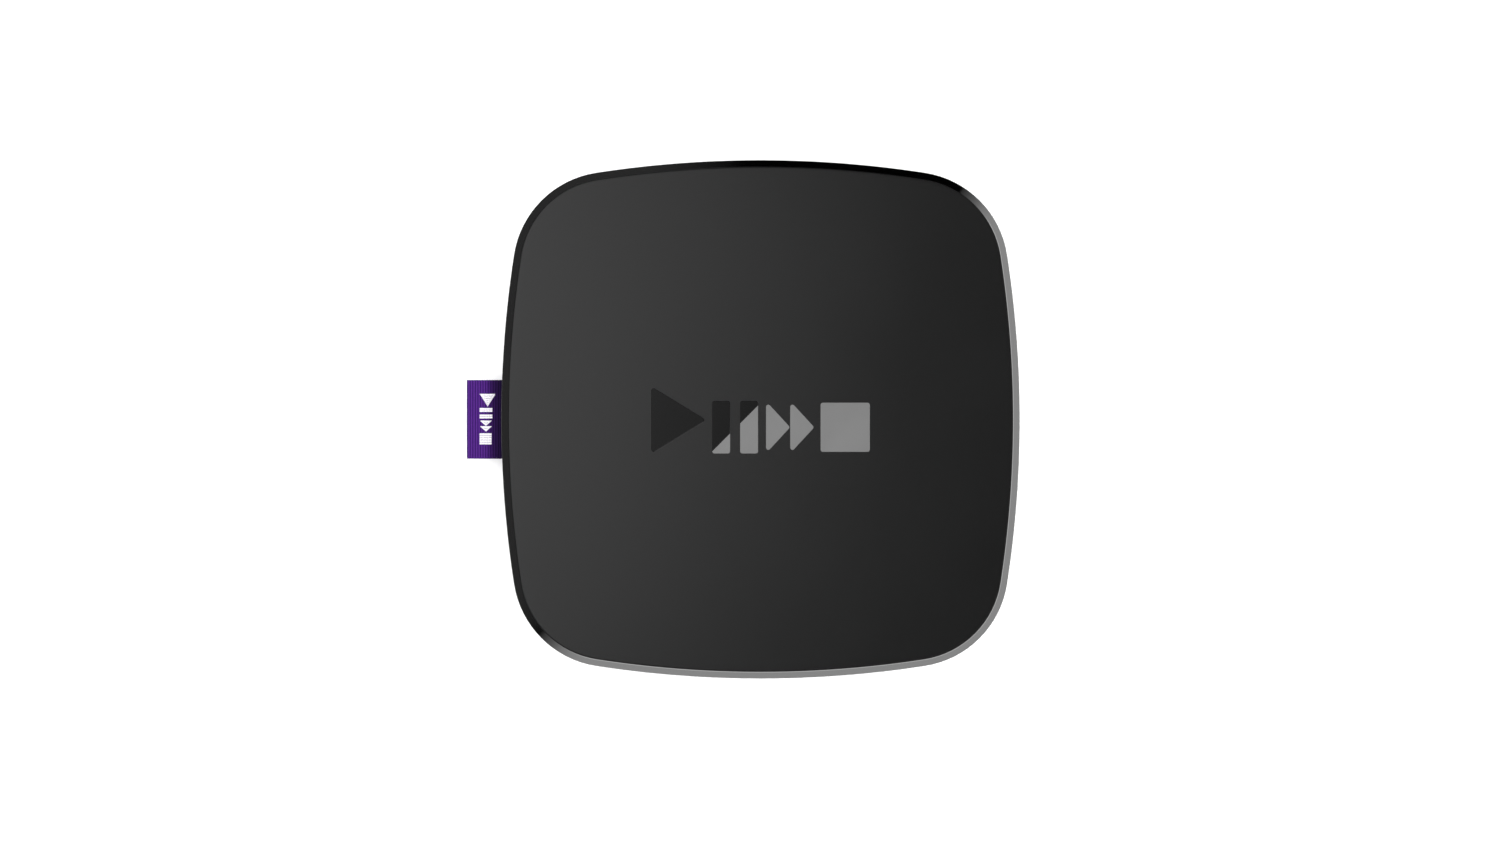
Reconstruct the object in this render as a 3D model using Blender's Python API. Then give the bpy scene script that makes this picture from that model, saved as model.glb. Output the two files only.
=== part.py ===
"""Streaming media player: a flat, rounded-square set-top box with a woven side tag.

Frame: origin at the centre of the body's outline, on the plane that the foot pad
rests on. +X points to the side with the USB socket and the finder button, -X to
the fabric tag, +Y to the rear port panel, +Z up. Dimensions below are in
millimetres and are scaled to metres as each mesh is written.
"""

import math

import bmesh
import bpy
from mathutils import Vector

MM = 0.001

# ---- driving dimensions -----------------------------------------------------
BODY_HALF = 62.25        # half of the 124.5 mm body
R_SIDE = 259.6           # radius of each bowed side
R_CORNER = 23.55         # radius of each corner
BODY_TOP = 21.5          # crown of the lid
TOP_EDGE_Z = 21.15       # top of the bevelled rim
RIM = 1.8                # width of the bevelled rim seen from above
RIM_DROP = 1.3           # fall of the bevel over its outer 1.5 mm
RIDGE_Z = 17.8           # height of the widest outline
COVER_FOOT_Z = 4.5       # lower edge of the cover
TAPER = 2.0              # how far the flank draws in from the ridge to that edge
ROOF_Z = 19.6            # underside of the cover's roof
GAP = 0.3                # assembly gap between neighbouring pieces

PAD_T = 1.2
PAD_INSET = 8.8
FLOOR_Z = 3.0            # inside floor of the base
BOARD_Z = 5.4            # underside of the main board
BOARD_T = 1.6
BOARD_TOP = BOARD_Z + BOARD_T
ON_BOARD = BOARD_TOP + GAP

PANEL_Y = 56.4           # outer face of the rear port panel
PANEL_T = 1.6
PANEL_HALF = 39.2
PANEL_TOP = 19.1
MOUTH_Y = PANEL_Y - 0.3  # mouths of the rear connectors
BAY_HALF = 39.5
BAY_TOP = 19.4

BOSS_XY = 43.5           # housing screw positions
BOARD_SCREWS = ((-23, -34), (37, -34), (-23, 19), (37, 19))

DC_X, RESET_X, HDMI_X, CARD_X, LAN_X, OPTIC_X = 34.0, 26.6, 14.6, -2.2, -18.4, -32.2
USB_Y, FINDER_Y, FINDER_Z = 14.0, -14.0, 11.4
LIGHT_Z = 8.4            # height of the front light

TAG_W = 19.1             # width of the woven tag
TAG_OUT = 71.05          # how far its fold reaches from the centre
TAG_Z = 10.4
TAG_T = 1.1

SIDE_STEPS, CORNER_STEPS = 3, 10


# ---- scene and material helpers ---------------------------------------------
for leftover in list(bpy.data.objects):
    bpy.data.objects.remove(leftover, do_unlink=True)

assembly = bpy.data.objects.new("media_player", None)
bpy.context.scene.collection.objects.link(assembly)


def material(name, colour, roughness, metallic=0.0):
    found = bpy.data.materials.get(name)
    if found:
        return found
    made = bpy.data.materials.new(name)
    made.use_nodes = True
    shader = made.node_tree.nodes["Principled BSDF"]
    shader.inputs["Base Color"].default_value = (*colour, 1.0)
    shader.inputs["Roughness"].default_value = roughness
    shader.inputs["Metallic"].default_value = metallic
    made.diffuse_color = (*colour, 1.0)
    return made


COVER_BLACK = material("cover_black", (0.030, 0.030, 0.031), 0.42)
BASE_BLACK = material("base_black", (0.022, 0.022, 0.023), 0.60)
RUBBER = material("foot_rubber", (0.018, 0.018, 0.018), 0.85)
TAG_PURPLE = material("woven_purple", (0.085, 0.022, 0.235), 0.90)
STEEL = material("zinc_plated_steel", (0.62, 0.63, 0.65), 0.30, 1.0)
BLACK_STEEL = material("black_screw_steel", (0.10, 0.10, 0.105), 0.35, 1.0)
SHIELD = material("tinned_shield", (0.72, 0.72, 0.70), 0.28, 1.0)
ALUMINIUM = material("spreader_aluminium", (0.66, 0.67, 0.68), 0.38, 1.0)
BOARD_GREEN = material("board_green", (0.012, 0.085, 0.040), 0.35)
CHIP_BLACK = material("chip_black", (0.020, 0.020, 0.021), 0.50)
CONNECTOR_BLACK = material("connector_black", (0.015, 0.015, 0.016), 0.45)
GOLD = material("contact_gold", (0.85, 0.60, 0.22), 0.25, 1.0)
FERRITE = material("ferrite_grey", (0.09, 0.09, 0.095), 0.65)
CAP_SLEEVE = material("capacitor_aluminium", (0.60, 0.61, 0.62), 0.30, 1.0)
GREY_PAD = material("thermal_pad_grey", (0.30, 0.33, 0.36), 0.90)
LEAD_GREY = material("coax_black", (0.025, 0.025, 0.027), 0.55)
CLEAR = material("light_pipe_clear", (0.85, 0.86, 0.88), 0.10)
LED_WHITE = material("led_white", (0.80, 0.80, 0.72), 0.40)
IR_DARK = material("ir_epoxy", (0.020, 0.010, 0.022), 0.15)
BOARD_BLACK = material("antenna_board_black", (0.020, 0.028, 0.024), 0.40)


def place(name, mesh_builder, paint, smooth=35.0):
    """Makes a named object from a bmesh drawn in millimetres."""
    mesh_builder.normal_update()
    bmesh.ops.recalc_face_normals(mesh_builder, faces=mesh_builder.faces[:])
    bmesh.ops.scale(mesh_builder, vec=(MM, MM, MM), verts=mesh_builder.verts[:])
    data = bpy.data.meshes.new(name)
    mesh_builder.to_mesh(data)
    mesh_builder.free()
    made = bpy.data.objects.new(name, data)
    bpy.context.scene.collection.objects.link(made)
    made.parent = assembly
    if paint is not None:
        data.materials.append(paint)
    if smooth:
        data.shade_smooth()
        data.set_sharp_from_angle(angle=math.radians(smooth))
    return made


def loft(rings):
    """A closed bmesh through rings of equal count, both end rings capped."""
    builder = bmesh.new()
    grid = [[builder.verts.new(Vector(p)) for p in ring] for ring in rings]
    count = len(grid[0])
    for low, high in zip(grid, grid[1:]):
        for i in range(count):
            j = (i + 1) % count
            builder.faces.new((low[i], low[j], high[j], high[i]))
    builder.faces.new(list(reversed(grid[0])))
    builder.faces.new(grid[-1])
    return builder


def outline(inset, z):
    """The body's outline, drawn in by inset: four bowed sides and four corner arcs.

    Each side arc and corner arc keep their centres as they are offset, so the
    rings stay parallel. There is a point on every axis and every diagonal.
    """
    side_x = BODY_HALF - R_SIDE
    reach = R_SIDE - R_CORNER
    corner = (side_x + math.sqrt(2 * reach * reach - side_x * side_x)) / 2
    turn = math.atan2(corner, corner - side_x)
    points = []
    for quarter in range(4):
        local = []
        for i in range(SIDE_STEPS):
            a = turn * i / SIDE_STEPS
            local.append((side_x + (R_SIDE - inset) * math.cos(a), (R_SIDE - inset) * math.sin(a)))
        for i in range(CORNER_STEPS + 1):
            a = turn + (math.pi / 2 - 2 * turn) * i / CORNER_STEPS
            local.append((corner + (R_CORNER - inset) * math.cos(a), corner + (R_CORNER - inset) * math.sin(a)))
        for i in range(SIDE_STEPS - 1, 0, -1):
            a = turn * i / SIDE_STEPS
            local.append(((R_SIDE - inset) * math.sin(a), side_x + (R_SIDE - inset) * math.cos(a)))
        c, s = math.cos(quarter * math.pi / 2), math.sin(quarter * math.pi / 2)
        points += [(c * x - s * y, s * x + c * y, z) for x, y in local]
    return points


def flank_inset(z):
    """How far the cover's flank lies inside the widest outline at height z."""
    t = max(0.0, (RIDGE_Z - z) / (RIDGE_Z - COVER_FOOT_Z))
    return TAPER * t ** 1.5


def crown(share):
    """Ring on the lid's shallow crown, at a share of the way from its middle to its edge."""
    z = BODY_TOP - (BODY_TOP - TOP_EDGE_Z) * share ** 2
    return [(x * share, y * share, z) for x, y, _ in outline(RIM, 0)]


def ring_of(shape, origin, u, v):
    """2-D points carried to the plane of u and v through origin."""
    o, u, v = Vector(origin), Vector(u), Vector(v)
    return [o + u * a + v * b for a, b in shape]


def rectangle(width, height, radius=0.0, steps=2):
    """Corner-rounded rectangle round (0, 0), as 2-D points."""
    if radius <= 0:
        return [(-width / 2, -height / 2), (width / 2, -height / 2), (width / 2, height / 2), (-width / 2, height / 2)]
    points = []
    for cx, cy, start in ((1, 1, 0), (-1, 1, 90), (-1, -1, 180), (1, -1, 270)):
        for i in range(steps + 1):
            a = math.radians(start + 90 * i / steps)
            points.append((cx * (width / 2 - radius) + radius * math.cos(a), cy * (height / 2 - radius) + radius * math.sin(a)))
    return points


def circle(radius, count=16):
    return [(radius * math.cos(2 * math.pi * i / count), radius * math.sin(2 * math.pi * i / count)) for i in range(count)]


def block(low, high, bevel=0.0):
    """Axis-aligned box between two corners, with its edges eased."""
    builder = bmesh.new()
    bmesh.ops.create_cube(builder, size=1.0)
    for vertex in builder.verts:
        vertex.co = Vector([low[k] if vertex.co[k] < 0 else high[k] for k in range(3)])
    if bevel:
        bmesh.ops.bevel(builder, geom=builder.edges[:], offset=bevel, segments=1, profile=0.5, affect="EDGES")
    return builder


def bar(radius, start, end, count=16, chamfer=0.0):
    """Straight round bar along X, Y or Z, its ends chamfered."""
    start, end = Vector(start), Vector(end)
    along = (end - start).normalized()
    u = Vector((0, 0, 1)) if abs(along.z) < 0.5 else Vector((1, 0, 0))
    v = along.cross(u)
    stations = [(radius, 0.0), (radius, (end - start).length)]
    if chamfer:
        length = (end - start).length
        stations = [(radius - chamfer, 0.0), (radius, chamfer), (radius, length - chamfer), (radius - chamfer, length)]
    return loft([ring_of(circle(r, count), start + along * s, u, v) for r, s in stations])


def combine(target, tool_builder, operation):
    """Applies one Boolean to target with a tool drawn as a bmesh."""
    tool = place(target.name + "_tool", tool_builder, None, smooth=0)
    tool.hide_render = True
    tool.display_type = "WIRE"
    step = target.modifiers.new(operation.lower(), "BOOLEAN")
    step.object = tool
    step.operation = operation
    step.solver = "EXACT"
    bpy.context.view_layer.update()
    graph = bpy.context.evaluated_depsgraph_get()
    result = bpy.data.meshes.new_from_object(target.evaluated_get(graph))
    old = target.data
    target.modifiers.clear()
    target.data = result
    result.name = target.name
    bpy.data.meshes.remove(old)
    spent = tool.data
    bpy.data.objects.remove(tool, do_unlink=True)
    bpy.data.meshes.remove(spent)
    return target


def cut(target, tool_builder):
    return combine(target, tool_builder, "DIFFERENCE")


def add(target, tool_builder):
    return combine(target, tool_builder, "UNION")


# ---- top cover ----------------------------------------------------------------
# Outer skin from the crown down to the lower edge, then the inner skin back up.
cover_rings = [
    crown(1 / 3),
    crown(2 / 3),
    outline(RIM, TOP_EDGE_Z),
    outline(0.30, TOP_EDGE_Z - RIM_DROP),
    outline(0.05, 19.05),
    outline(flank_inset(RIDGE_Z), RIDGE_Z),
    outline(flank_inset(13.6), 13.6),
    outline(flank_inset(9.2), 9.2),
    outline(flank_inset(COVER_FOOT_Z), COVER_FOOT_Z),
    outline(TAPER + 1.8, COVER_FOOT_Z),
    outline(flank_inset(10.5) + 1.85, 10.5),
    outline(1.95, 17.2),
    outline(3.4, ROOF_Z),
]
top_cover = place("top_cover", loft(cover_rings), COVER_BLACK)

# Four screw bosses hang from the roof.
for sx in (-1, 1):
    for sy in (-1, 1):
        x, y = sx * BOSS_XY, sy * BOSS_XY
        add(top_cover, bar(3.25, (x, y, 5.3), (x, y, ROOF_Z + 0.6), 16))
        cut(top_cover, bar(1.6, (x, y, 4.6), (x, y, 14.0), 12))

# Rear bay: the wall is notched from its lower edge up to the eave.
cut(top_cover, block((-BAY_HALF, 54.2, 3.0), (BAY_HALF, 70.0, BAY_TOP)))
# Slot for the tag, through the left wall.
cut(top_cover, block((-66.0, -TAG_W / 2 - 0.35, TAG_Z - TAG_T / 2 - 0.35), (-56.0, TAG_W / 2 + 0.35, TAG_Z + TAG_T / 2 + 0.35)))
# USB window and finder button hole, through the right wall.
cut(top_cover, block((56.0, USB_Y - 6.95, 7.0), (66.0, USB_Y + 6.95, 13.5)))
cut(top_cover, loft([ring_of(rectangle(10.6, 6.6, 3.29, 5), (x, FINDER_Y, FINDER_Z), (0, 1, 0), (0, 0, 1)) for x in (56.0, 66.0)]))
# Light pipe hole at the front.
cut(top_cover, bar(1.35, (0, -66.0, LIGHT_Z), (0, -55.0, LIGHT_Z), 12))
top_cover.data.shade_smooth()
top_cover.data.set_sharp_from_angle(angle=math.radians(30))

# ---- base tray ------------------------------------------------------------------
base_rings = [
    outline(8.5, 1.5),
    outline(8.5, 0.7),
    outline(7.2, 0.7),
    outline(4.9, 1.55),
    outline(3.2, 2.75),
    outline(2.3, 4.2),
    outline(4.2, 4.2),
    outline(4.2, 6.6),
    outline(5.5, 6.6),
    outline(5.5, FLOOR_Z),
]
base_tray = place("base_tray", loft(base_rings), BASE_BLACK)
# The lip stops short of the rear bay and of the tag's inner end.
cut(base_tray, block((-BAY_HALF, 50.0, 4.2), (BAY_HALF, 64.0, 8.0)))
# Port panel: its middle stands on the floor, its ends on the rim.
add(base_tray, block((-PANEL_HALF, PANEL_Y - PANEL_T, 3.5), (PANEL_HALF, PANEL_Y, PANEL_TOP)))
add(base_tray, block((-34.0, PANEL_Y - PANEL_T, 2.5), (34.0, PANEL_Y, 4.8)))
# Openings in the port panel, each clear of its connector.
cut(base_tray, bar(4.1, (DC_X, 50.0, 13.6), (DC_X, 60.0, 13.6), 20))
cut(base_tray, bar(0.9, (RESET_X, 50.0, 9.1), (RESET_X, 60.0, 9.1), 12))
cut(base_tray, block((HDMI_X - 7.9, 50.0, 7.0), (HDMI_X + 7.9, 60.0, 13.2)))
cut(base_tray, block((CARD_X - 7.6, 50.0, 7.0), (CARD_X + 7.6, 60.0, 9.6)))
cut(base_tray, block((LAN_X - 8.3, 50.0, 5.6), (LAN_X + 8.3, 60.0, 17.7)))
cut(base_tray, block((OPTIC_X - 5.15, 50.0, 7.0), (OPTIC_X + 5.15, 60.0, 17.4)))
# Housing screw bosses, bored from below with a counterbore for the head.
for sx in (-1, 1):
    for sy in (-1, 1):
        x, y = sx * BOSS_XY, sy * BOSS_XY
        add(base_tray, bar(4.5, (x, y, 2.0), (x, y, 5.0), 16))
        cut(base_tray, bar(1.6, (x, y, 1.0), (x, y, 6.0), 12))
        cut(base_tray, bar(2.9, (x, y, 1.0), (x, y, 3.6), 16))
# Standoffs under the main board.
for x, y in BOARD_SCREWS:
    add(base_tray, bar(3.5, (x, y, 2.2), (x, y, 5.1), 16))
    cut(base_tray, bar(1.6, (x, y, 3.3), (x, y, 6.0), 12))
# Plain rests under the rear and front edges of the board.
for x, y in ((-38, 46), (6, 47), (-40, -30), (8, -46)):
    add(base_tray, block((x - 1.5, y - 1.5, 2.2), (x + 1.5, y + 1.5, 5.1)))
# Posts that back the two antennas, which stand on edge along the front.
for side in (-1, 1):
    for x in (side * 25.5 - 12, side * 25.5 + 12):
        add(base_tray, block((x - 1.0, -51.9, 2.2), (x + 1.0, -50.5, 9.0)))
base_tray.data.shade_smooth()
base_tray.data.set_sharp_from_angle(angle=math.radians(30))

# ---- foot pad -------------------------------------------------------------------
pad_rings = [
    outline(15.2, 0.0),
    outline(14.9, 0.35),
    outline(13.5, 0.35),
    outline(13.2, 0.0),
    outline(9.3, 0.0),
    outline(PAD_INSET, 0.4),
    outline(PAD_INSET, PAD_T),
]
place("foot_pad", loft(pad_rings), RUBBER)


# ---- fasteners --------------------------------------------------------------------
def screw(name, x, y, z_head, length, up, head_r, paint):
    """Pan-head screw. z_head is where the head meets the work; up is -1 when its head faces down."""
    star = [(r * math.cos(2 * math.pi * i / 12), r * math.sin(2 * math.pi * i / 12)) for i, r in enumerate([1.25, 0.95] * 6)]
    stations = [
        (circle(0.7, 12), -length),
        (circle(1.25, 12), -length + 0.8),
        (circle(1.25, 12), 0.0),
        (circle(head_r, 12), 0.0),
        (circle(head_r, 12), 0.9),
        (circle(head_r - 0.5, 12), 1.5),
        (star, 1.5),
        (star, 0.5),
    ]
    rings = [ring_of(shape, (x, y, z_head + up * s), (1, 0, 0), (0, 1, 0)) for shape, s in stations]
    return place(name, loft(rings), paint)


number = 0
for x, y in ((-1, 1), (1, 1), (1, -1), (-1, -1)):
    number += 1
    screw("housing_screw_%d" % number, x * BOSS_XY, y * BOSS_XY, 3.3, 9.0, -1, 2.4, BLACK_STEEL)

# ---- woven tag and its retaining bar ---------------------------------------------
place("fabric_tag", block((-TAG_OUT, -TAG_W / 2, TAG_Z - TAG_T / 2), (-56.6, TAG_W / 2, TAG_Z + TAG_T / 2), 0.25), TAG_PURPLE)
place("tag_retainer", block((-56.3, -TAG_W / 2 - 1.2, TAG_Z - 1.6), (-53.9, TAG_W / 2 + 1.2, TAG_Z + 1.6), 0.3), BASE_BLACK)

# ---- main board -------------------------------------------------------------------
board_outline = [
    (53.4, -35.8), (53.4, 35.8), (39.5, 35.8), (39.5, 52.0),
    (LAN_X + 8.4, 52.0), (LAN_X + 8.4, 39.6), (LAN_X - 8.4, 39.6), (LAN_X - 8.4, 52.0),
    (-39.5, 52.0), (-39.5, 38.0), (-50.0, 38.0), (-50.0, -38.0),
    (-38.0, -38.0), (-38.0, -50.0), (38.0, -50.0), (38.0, -35.8),
]
main_board = place(
    "main_board",
    loft([[(x, y, z) for x, y in board_outline] for z in (BOARD_Z, BOARD_TOP)]),
    BOARD_GREEN,
)
for x, y in BOARD_SCREWS:
    cut(main_board, bar(1.6, (x, y, 4.0), (x, y, 8.0), 16))

# ---- chips and their cooling -----------------------------------------------------
place("soc_chip", block((-6.5, -4.5, ON_BOARD), (10.5, 12.5, ON_BOARD + 1.3), 0.2), CHIP_BLACK)
place("ram_chip_left", block((-21.5, 3.0, ON_BOARD), (-8.5, 12.0, ON_BOARD + 1.0), 0.15), CHIP_BLACK)
place("ram_chip_right", block((-21.5, -9.0, ON_BOARD), (-8.5, 0.0, ON_BOARD + 1.0), 0.15), CHIP_BLACK)
place("flash_chip", block((14.0, 3.0, ON_BOARD), (25.5, 16.0, ON_BOARD + 1.0), 0.15), CHIP_BLACK)
place("power_chip", block((16.0, -12.0, ON_BOARD), (23.0, -5.0, ON_BOARD + 0.9), 0.15), CHIP_BLACK)
place("power_inductor_1", block((27.0, -13.0, ON_BOARD), (34.0, -6.0, ON_BOARD + 3.0), 0.6), FERRITE)
place("power_inductor_2", block((27.0, -23.0, ON_BOARD), (34.0, -16.0, ON_BOARD + 3.0), 0.6), FERRITE)
place("clock_crystal", block((-5.0, -11.5, ON_BOARD), (-1.0, -6.5, ON_BOARD + 1.0), 0.2), SHIELD)
place("thermal_pad", block((-6.0, -4.0, 8.9), (10.0, 12.0, 9.6)), GREY_PAD)

spreader = place("heat_spreader", block((-27.0, -38.0, 10.9), (41.0, 23.0, 12.6), 0.25), ALUMINIUM)
add(spreader, block((-5.5, -3.5, 9.9), (9.5, 11.5, 11.6)))
for x, y in BOARD_SCREWS:
    add(spreader, bar(3.2, (x, y, ON_BOARD), (x, y, 12.0), 16))
    cut(spreader, bar(1.6, (x, y, 6.0), (x, y, 14.0), 12))
for x in (-17.5, -5.5, 6.5, 18.5, 30.5):
    for y in (-27.0, -17.0):
        cut(spreader, loft([ring_of(rectangle(8.0, 5.0, 2.4, 3), (x, y, z), (1, 0, 0), (0, 1, 0)) for z in (10.0, 13.5)]))
spreader.data.shade_smooth()
spreader.data.set_sharp_from_angle(angle=math.radians(30))

for number, (x, y) in enumerate(BOARD_SCREWS, 1):
    screw("board_screw_%d" % number, x, y, 12.9, 9.2, 1, 2.5, STEEL)

# ---- radio, antennas and their coaxial leads -------------------------------------
place("wifi_shield", block((-48.5, -20.0, ON_BOARD), (-29.0, 3.0, ON_BOARD + 2.4), 0.35), SHIELD)
for side, label in ((-1, "left"), (1, "right")):
    place("antenna_" + label, block((side * 25.5 - 15.0, -53.0, 3.4), (side * 25.5 + 15.0, -52.2, 14.6)), BOARD_BLACK)


def smooth_route(points, spacing):
    """Points a fixed step apart on a Catmull-Rom curve through the given points."""
    points = [Vector(p) for p in points]
    ends = [points[0] * 2 - points[1]] + points + [points[-1] * 2 - points[-2]]
    dense = []
    for a, b, c, d in zip(ends, ends[1:], ends[2:], ends[3:]):
        for i in range(24):
            t = i / 24
            dense.append(0.5 * ((2 * b) + (c - a) * t + (2 * a - 5 * b + 4 * c - d) * t * t + (3 * b - a - 3 * c + d) * t ** 3))
    dense.append(points[-1])
    total = sum((q - p).length for p, q in zip(dense, dense[1:]))
    steps = max(2, round(total / spacing))
    out, walked, target = [dense[0]], 0.0, total / steps
    for p, q in zip(dense, dense[1:]):
        leg = (q - p).length
        while leg > 0 and walked + leg >= target - 1e-9 and len(out) < steps:
            out.append(p.lerp(q, (target - walked) / leg))
            target += total / steps
        walked += leg
    out.append(dense[-1])
    return out


def lead(name, points, radius, paint):
    data = bpy.data.curves.new(name, "CURVE")
    data.dimensions = "3D"
    route = smooth_route(points, 4.0)
    spline = data.splines.new("POLY")
    spline.points.add(len(route) - 1)
    for point, where in zip(spline.points, route):
        point.co = (*(where * MM), 1.0)
    data.bevel_depth = radius * MM
    data.bevel_resolution = 1
    data.use_fill_caps = True
    data.materials.append(paint)
    made = bpy.data.objects.new(name, data)
    bpy.context.scene.collection.objects.link(made)
    made.parent = assembly
    return made


for label, x in (("left", -45.0), ("right", -36.5)):
    place("antenna_plug_" + label, bar(1.3, (x, -26.0, ON_BOARD), (x, -26.0, 8.8), 12, 0.2), GOLD)
lead("antenna_lead_left", [(-45.0, -27.9, 8.2), (-45.0, -31.0, 8.2), (-43.5, -36.5, 8.8), (-37.0, -42.5, 9.2), (-33.5, -47.0, 10.2), (-32.0, -49.6, 11.7), (-31.8, -51.6, 12.3)], 0.6, LEAD_GREY)
lead("antenna_lead_right", [(-36.5, -27.9, 8.2), (-36.5, -31.0, 8.2), (-35.0, -37.0, 8.3), (-28.0, -42.0, 8.3), (-12.0, -42.6, 8.3), (4.0, -41.8, 8.3), (16.0, -43.0, 8.6), (24.0, -46.4, 10.0), (27.4, -49.4, 11.7), (27.8, -51.6, 12.3)], 0.6, LEAD_GREY)


# ---- connectors --------------------------------------------------------------------
def socket(name, outer, inner, origin, u, v, w, depth, hollow, paint, lip=0.0):
    """Box-like socket, its mouth at origin, facing along w, with a blind cavity."""
    origin, w = Vector(origin), Vector(w)
    rings = [
        ring_of(outer, origin - w * depth, u, v),
        ring_of(outer, origin, u, v),
        ring_of(inner, origin, u, v),
        ring_of(inner, origin - w * hollow, u, v),
    ]
    if lip:
        flared = [(a * (1 + lip), b * (1 + lip * 2)) for a, b in inner]
        rings[2] = ring_of(flared, origin, u, v)
        rings.insert(3, ring_of(inner, origin - w * 0.6, u, v))
    return place(name, loft(rings), paint)


REAR = ((1, 0, 0), (0, 0, 1), (0, 1, 0))
RIGHT = ((0, 1, 0), (0, 0, 1), (1, 0, 0))


def hdmi_shape(width, height, slope):
    """Type A receptacle: a rectangle whose two lower corners are drawn in."""
    w, h = width / 2, height / 2
    return [(-w, h), (-w, -h + slope * 1.3), (-w + slope, -h), (w - slope, -h), (w, -h + slope * 1.3), (w, h)]


hdmi_z = ON_BOARD + 2.8
socket("hdmi_shell", hdmi_shape(15.2, 5.6, 2.0), hdmi_shape(14.2, 4.7, 1.75), (HDMI_X, MOUTH_Y, hdmi_z), *REAR, 11.5, 10.2, SHIELD)
place("hdmi_tongue", block((HDMI_X - 5.9, MOUTH_Y - 9.8, hdmi_z - 0.25), (HDMI_X + 5.9, MOUTH_Y - 1.4, hdmi_z + 0.75), 0.12), CONNECTOR_BLACK)

usb_mouth_x = 60.1
socket("usb_shell", rectangle(13.2, 5.9), rectangle(12.5, 5.12), (usb_mouth_x, USB_Y, ON_BOARD + 2.95), *RIGHT, 14.0, 12.6, SHIELD)
place("usb_tongue", block((usb_mouth_x - 12.2, USB_Y - 5.5, ON_BOARD + 3.2), (usb_mouth_x - 1.2, USB_Y + 5.5, ON_BOARD + 5.0), 0.15), CONNECTOR_BLACK)

# Low-profile network jack, sunk into the board's cut-out.
lan_low = 5.9
ethernet_jack = place("ethernet_jack", block((LAN_X - 8.0, MOUTH_Y - 15.8, lan_low), (LAN_X + 8.0, MOUTH_Y, lan_low + 11.5), 0.2), SHIELD)
cut(ethernet_jack, block((LAN_X - 5.95, MOUTH_Y - 12.5, lan_low + 3.2), (LAN_X + 5.95, MOUTH_Y + 2.0, lan_low + 10.4)))
cut(ethernet_jack, block((LAN_X - 3.1, MOUTH_Y - 9.0, lan_low + 1.3), (LAN_X + 3.1, MOUTH_Y + 2.0, lan_low + 3.6)))
# Eight sprung contacts on one carrier, sloping down towards the back.
tooth, gap_w = 0.5, 1.02
comb = [(-4.6, 0.0), (4.6, 0.0)]
for i in range(7, -1, -1):
    x = (i - 3.5) * gap_w
    comb += [(x + tooth / 2, -1.0), (x + tooth / 2, -7.4), (x - tooth / 2, -7.4), (x - tooth / 2, -1.0)]


def contact_z(back):
    """The carrier lies flat under the jack's ceiling and the contacts slope down."""
    return lan_low + 9.95 - max(0.0, back - 1.0) * 0.25


rings = []
for lift in (-0.3, 0.0):
    rings.append([(LAN_X + x, MOUTH_Y - 3.2 + y, contact_z(-y) + lift) for x, y in comb])
place("ethernet_contacts", loft(rings), GOLD, smooth=0)

# Optical audio jack with a sprung shutter in its mouth.
OPTIC_LOW, OPTIC_TOP = ON_BOARD, ON_BOARD + 9.8
optic_mid = (OPTIC_LOW + OPTIC_TOP) / 2
socket("optical_jack", rectangle(9.7, 9.8), rectangle(8.2, 8.2), (OPTIC_X, MOUTH_Y, optic_mid), *REAR, 13.5, 9.6, CONNECTOR_BLACK)
place("optical_emitter", bar(1.4, (OPTIC_X, MOUTH_Y - 9.3, optic_mid - 0.2), (OPTIC_X, MOUTH_Y - 8.3, optic_mid - 0.2), 12, 0.2), CLEAR)
HINGE_Y, HINGE_Z = MOUTH_Y - 1.0, optic_mid + 3.5
place("optical_shutter", block((OPTIC_X - 3.75, HINGE_Y - 0.4, optic_mid - 3.75), (OPTIC_X + 3.75, HINGE_Y + 0.4, HINGE_Z + 0.3), 0.12), CONNECTOR_BLACK)

# Power jack: a body behind the panel and a round nose through it.
dc_jack = place("power_jack", block((DC_X - 4.5, MOUTH_Y - 14.2, ON_BOARD), (DC_X + 4.5, 54.4, ON_BOARD + 11.0), 0.3), CONNECTOR_BLACK)
add(dc_jack, bar(3.8, (DC_X, 50.0, 13.6), (DC_X, MOUTH_Y, 13.6), 20))
cut(dc_jack, bar(2.95, (DC_X, MOUTH_Y - 9.5, 13.6), (DC_X, 60.0, 13.6), 20))
dc_jack.data.shade_smooth()
dc_jack.data.set_sharp_from_angle(angle=math.radians(30))
place("power_jack_pin", bar(1.0, (DC_X, MOUTH_Y - 9.2, 13.6), (DC_X, MOUTH_Y - 0.9, 13.6), 12, 0.35), STEEL)

# Push-push memory card socket with its ejector slide.
socket("card_socket", rectangle(14.6, 2.0), rectangle(13.4, 1.3), (CARD_X, MOUTH_Y, ON_BOARD + 1.0), *REAR, 15.2, 13.8, SHIELD)
slide_outline = [(4.9, -3.4), (6.2, -3.4), (6.2, -12.2), (-1.6, -12.2), (-1.6, -10.8), (4.9, -10.8)]
place(
    "card_ejector",
    loft([[(CARD_X + x, MOUTH_Y + y, ON_BOARD + z) for x, y in slide_outline] for z in (0.65, 1.35)]),
    CONNECTOR_BLACK,
    smooth=0,
)

# Reset switch behind its pinhole.
reset_switch = place("reset_switch", block((RESET_X - 2.2, 48.4, ON_BOARD), (RESET_X + 2.2, 51.8, ON_BOARD + 3.6), 0.2), CONNECTOR_BLACK)
cut(reset_switch, bar(1.15, (RESET_X, 50.4, 9.1), (RESET_X, 54.0, 9.1), 12))
place("reset_plunger", bar(0.8, (RESET_X, 51.0, 9.1), (RESET_X, 53.6, 9.1), 12, 0.15), LED_WHITE)

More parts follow.
